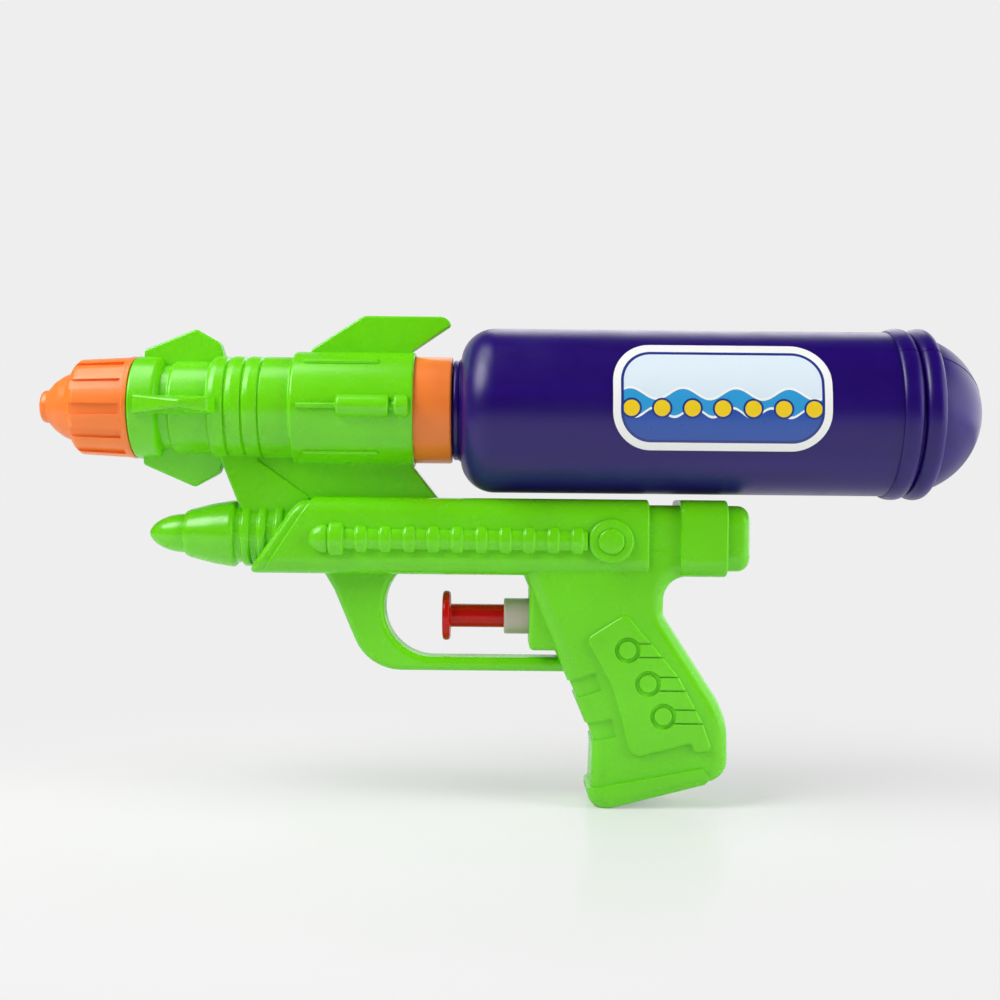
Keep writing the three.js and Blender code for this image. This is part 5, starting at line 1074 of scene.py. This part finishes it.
class SQUIRTER_OT_pump(bpy.types.Operator):
    """Models the pump's cylinder, the bush in its mouth and the springs"""
    bl_idname = "squirter.pump"
    bl_label = "Pump"

    def execute(self, context):
        mouth, end = PUMP_MOUTH, PUMP_END
        cylinder = turned([
            (mouth, 4.1), (mouth, 5.3, 0.5), (-31.1, 5.3), (-31.1, 6.8, 0.2), (-29.5, 6.8, 0.2),
            (-29.5, 5.3), (end, 5.3, 0.2), (end, 4.1), (mouth, 4.1)], 96, PUMP_Z)
        finish_piece(cylinder, "pump_barrel", "pump_cylinder", "natural_plastic")
        bush = turned([(mouth, 3.55), (mouth, 3.97, 0.15), (mouth + 3, 3.97), (mouth + 3, 3.55),
                       (mouth, 3.55)], 96, PUMP_Z)
        finish_piece(bush, "rod_guide", "rod_bush", "natural_plastic")
        push = coil(SPRING_START, SPRING_LENGTH / SPRING_TURNS, SPRING_TURNS, SPRING_RADIUS,
                    SPRING_WIRE, PUMP_Z)
        finish_piece(push, "trigger_spring", "return_spring", "bright_steel", angle=180)
        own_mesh(push)
        low, high = (Vector(corner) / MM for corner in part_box("inlet_spring"))
        centre, wire = (low + high) / 2, VALVE_SPRING_WIRE
        pitch = (high.z - low.z - 2 * wire) / VALVE_SPRING_TURNS
        valve = coil(0, pitch, VALVE_SPRING_TURNS, (high.x - low.x) / 2 - wire, wire, 0, 8)
        place(valve, move=(centre.x, centre.y, low.z + wire), turn=(0, -90, 0))
        finish_piece(valve, "valve_spring", "inlet_spring", "bright_steel", angle=180)
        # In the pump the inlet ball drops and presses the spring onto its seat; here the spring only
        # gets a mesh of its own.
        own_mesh(valve)
        return {"FINISHED"}


class SQUIRTER_OT_screws(bpy.types.Operator):
    """Models one cross-head screw and copies it to the six posts"""
    bl_idname = "squirter.screws"
    bl_label = "Case screws"

    def execute(self, context):
        seat = SCREW_SEAT + 0.125
        top, slot_floor, slot_half = seat + 1.8, seat + 0.9, 0.35
        head = [(seat + 0.5 + 1.3 * math.sin(a), 2.6 * math.cos(a) ** 0.6)
                for a in (0, 0.3, 0.6, 0.9, 1.2)]
        shank = [(seat - 12, 0), (seat - 10.7, 1.3), (seat, 1.3), (seat, 2.6)]
        screw = turned([*shank, *head, (top, 0.9), (top, 0)], 48, 0)
        slots = [block((slot_floor, -y, -z), (seat + 3, y, z))
                 for y, z in ((1.8, slot_half), (slot_half, 1.8))]
        combine(screw, "DIFFERENCE", slots)
        posts = [((x, 0, z), (0, 0, 90)) for x, z in SCREWS]
        for i, copy in enumerate(copies(screw, posts), 1):
            finish_piece(copy, f"cross_screw_{i}", f"case_screw_{i}", "bright_steel")
        return {"FINISHED"}


class SQUIRTER_OT_inner_works(bpy.types.Operator):
    """Models the hoses and the dip tube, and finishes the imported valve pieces"""
    bl_idname = "squirter.inner_works"
    bl_label = "Inner works"

    def execute(self, context):
        for name, node, stations in (
                ("suction_hose", "inlet_hose", (-75.95, INLET_WAY, INLET_LEVEL, -2.25)),
                ("jet_hose", "outlet_hose", (-136.3, OUTLET_WAY, OUTLET_LEVEL, -10.95))):
            far, way, level, foot = stations
            route = [(far, HOSE_TOP, 0), (way, HOSE_TOP, HOSE_BEND), (way, level, HOSE_BEND),
                     (foot, level, HOSE_BEND), (foot, HOSE_FOOT, 0)]
            if name == "jet_hose":  # each hose is drawn the way its water runs
                route.reverse()
            hose = tube(rounded(route, 10, closed=False), HOSE_RADIUS, HOSE_BORE)
            finish_piece(hose, name, node, "clear_vinyl", angle=60)
        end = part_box("dip_tube")[1][0] / MM
        sag = (end - COLLAR_FLOOR) * math.tan(math.radians(DIP_SAG))
        dip = tube([(-72.35, BARREL_Z), (COLLAR_FLOOR, BARREL_Z), (end - 0.2, BARREL_Z - sag)],
                   DIP_RADIUS, DIP_BORE)
        finish_piece(dip, "suction_tube", "dip_tube", "natural_plastic", angle=60)
        for slot, nodes in (
                ("natural_plastic", ("valve_block", "inlet_nipple", "outlet_nipple")),
                ("bright_steel", ("inlet_ball", "outlet_ball"))):
            for node in nodes:
                for held in bpy.data.objects[node].material_slots:
                    held.material = finish(slot)
        return {"FINISHED"}


# Stage

def show(tree, share, first, second, output="Material Output"):
    """Shows a mix of two shaders."""
    mix = add(tree, "ShaderNodeMixShader", {0: share, 1: first, 2: second})
    tree.links.new(mix.outputs["Shader"], tree.nodes[output].inputs["Surface"])


def white_card(stage):
    """White card, faintly glossy near the object and lost in the background further off."""
    material, tree, shader, in_mm = blank("white_card")
    away = add(tree, "ShaderNodeVectorMath", {0: in_mm}, operation="LENGTH").outputs["Value"]
    feed(tree, shader, {
        "Base Color": (*stage.floor, 1), "Roughness": 0.2,
        "Specular IOR Level": ranged(tree, away, *CARD_GLOSS, 0.06, 0, "SMOOTHSTEP")})
    glow = add(tree, "ShaderNodeEmission", {"Color": (*stage.floor, 1)}).outputs["Emission"]
    far = ranged(tree, away, *CARD_FADE, 0.35, 1, "SMOOTHSTEP")
    seen = add(tree, "ShaderNodeLightPath").outputs["Is Camera Ray"]
    show(tree, reckon(tree, "MULTIPLY", far, seen), shader.outputs["BSDF"], glow)
    return material


def painted_reflection_cloth(stage):
    """Painted reflections on a cloth that only reflections see: painted shade, near black, in front
    and above, and low down a glow as pale as the floor at the back, brighter still at the right as a
    painted reflection of the right softbox."""
    material, tree, _, in_mm = blank("painted_reflection_cloth")
    at = add(tree, "ShaderNodeSeparateXYZ", {0: in_mm}).outputs
    behind = ranged(tree, reckon(tree, "ADD", at["X"], at["Y"]), -200, 1000, kind="SMOOTHSTEP")
    low = ranged(tree, at["Z"], 700, -500, kind="SMOOTHSTEP")
    pale = reckon(tree, "MULTIPLY", behind, low)
    # Painted reflections: near black in front as painted shade, floor colour behind, glowing up to
    # 2.2 times brighter at the right in place of the right softbox's highlight.
    glow = add(tree, "ShaderNodeEmission", {
        "Color": mixed(tree, pale, (0.02, 0.02, 0.021, 1), (*stage.floor, 1)),
        "Strength": ranged(tree, at["X"], 500, 1400, 1, 2.2, "SMOOTHSTEP")})
    tree.links.new(glow.outputs["Emission"], tree.nodes["Material Output"].inputs["Surface"])
    return material


def pale_studio(scene, stage):
    """An even pale studio: seen by the camera and in reflections, and lighting softly."""
    scene.world = bpy.data.worlds.new("pale_studio")
    scene.world.use_nodes = True
    tree = scene.world.node_tree
    seen = add(tree, "ShaderNodeLightPath").outputs
    shown = reckon(tree, "ADD", seen["Is Camera Ray"], seen["Is Glossy Ray"])
    shown = reckon(tree, "ADD", shown, seen["Is Transmission Ray"], use_clamp=True)
    light, back = (
        add(tree, "ShaderNodeBackground", {"Color": shade, "Strength": strength}).outputs[0]
        for shade, strength in (((1, 1, 1, 1), stage.surroundings), ((*stage.floor, 1), 1.0)))
    show(tree, shown, light, back, "World Output")


class SQUIRTER_OT_stage(bpy.types.Operator):
    """Lays the floor and sets the lights and the camera"""
    bl_idname = "squirter.stage"
    bl_label = "Stage"

    def execute(self, context):
        stage = context.scene.squirter_stage
        free()
        bpy.ops.mesh.primitive_circle_add(
            vertices=128, radius=FLOOR_RADIUS, fill_type="NGON", location=(STAGE_X, 0, CAD_LOW[2]))
        floor = context.object
        floor.name = "studio_floor"
        floor.data.materials.append(white_card(stage))
        # A cloth all round that only reflections see, painted with reflections: painted shade, dark,
        # in front and above, and a painted glow at the back and at the right.
        bpy.ops.mesh.primitive_cylinder_add(
            vertices=64, radius=CLOTH_RADIUS, depth=CLOTH_HEIGHT,
            location=(STAGE_X, 0, CAD_LOW[2] + CLOTH_HEIGHT / 2 - CLOTH_SUNK))
        painted_reflection_drum = context.object
        painted_reflection_drum.name = "graded_surround"
        for ray in ("camera", "diffuse", "transmission", "shadow", "volume_scatter"):
            setattr(painted_reflection_drum, "visible_" + ray, False)
        painted_reflection_drum.data.materials.append(painted_reflection_cloth(stage))
        pale_studio(context.scene, stage)
        for name, (at, width, watts) in SOFTBOXES.items():
            turn = (LIT_POINT - Vector(at)).to_track_quat("-Z", "Y").to_euler()
            bpy.ops.object.light_add(type="AREA", location=at, rotation=turn)
            lamp = context.object
            lamp.name = name
            lamp.data.shape = "DISK"
            lamp.data.size = width
            lamp.data.energy = stage.key * watts
            # The low lamp would lie as a white patch on the card; the cloth's painted glow at the
            # right stands in for its reflection.
            lamp.visible_glossy = name != "right_softbox"
        bpy.ops.object.camera_add(
            location=CAMERA_PLACE, rotation=(math.radians(90), math.radians(CAMERA_ROLL), 0))
        camera = context.object
        camera.data.lens = stage.lens
        camera.data.clip_start = 0.01
        context.scene.camera = camera
        context.scene.view_settings.view_transform = "Standard"
        return {"FINISHED"}


OPERATORS = (
    SQUIRTER_OT_casing, SQUIRTER_OT_nozzle, SQUIRTER_OT_collar, SQUIRTER_OT_tank,
    SQUIRTER_OT_sticker, SQUIRTER_OT_trigger, SQUIRTER_OT_pump, SQUIRTER_OT_screws,
    SQUIRTER_OT_inner_works, SQUIRTER_OT_stage,
)
GROUPS = (
    (SquirterSizes, "squirter_sizes"), (SquirterColours, "squirter_colours"),
    (SquirterStage, "squirter_stage"),
)


class SQUIRTER_PT_panel(bpy.types.Panel):
    """Lists the squirter's pieces and what can be changed on them"""
    bl_idname = "SQUIRTER_PT_panel"
    bl_label = "Water squirter"
    bl_space_type = "VIEW_3D"
    bl_region_type = "UI"
    bl_category = "Squirter"

    def draw(self, context):
        for group, key in GROUPS:
            box = self.layout.box()
            for name in group.__annotations__:
                box.prop(getattr(context.scene, key), name)
        for operator in OPERATORS:
            self.layout.operator(operator.bl_idname)


def register():
    """Adds the classes, and the properties to the scene."""
    for group, key in GROUPS:
        bpy.utils.register_class(group)
        setattr(bpy.types.Scene, key, bpy.props.PointerProperty(type=group))
    for operator in (*OPERATORS, SQUIRTER_PT_panel):
        bpy.utils.register_class(operator)


def unregister():
    """Takes the classes and the properties away again."""
    for operator in reversed((*OPERATORS, SQUIRTER_PT_panel)):
        bpy.utils.unregister_class(operator)
    for group, key in reversed(GROUPS):
        delattr(bpy.types.Scene, key)
        bpy.utils.unregister_class(group)


def main():
    """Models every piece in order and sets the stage."""
    register()
    for operator in OPERATORS:
        group, name = operator.bl_idname.split(".")
        getattr(getattr(bpy.ops, group), name)()
    free()


if __name__ == "__main__":
    main()
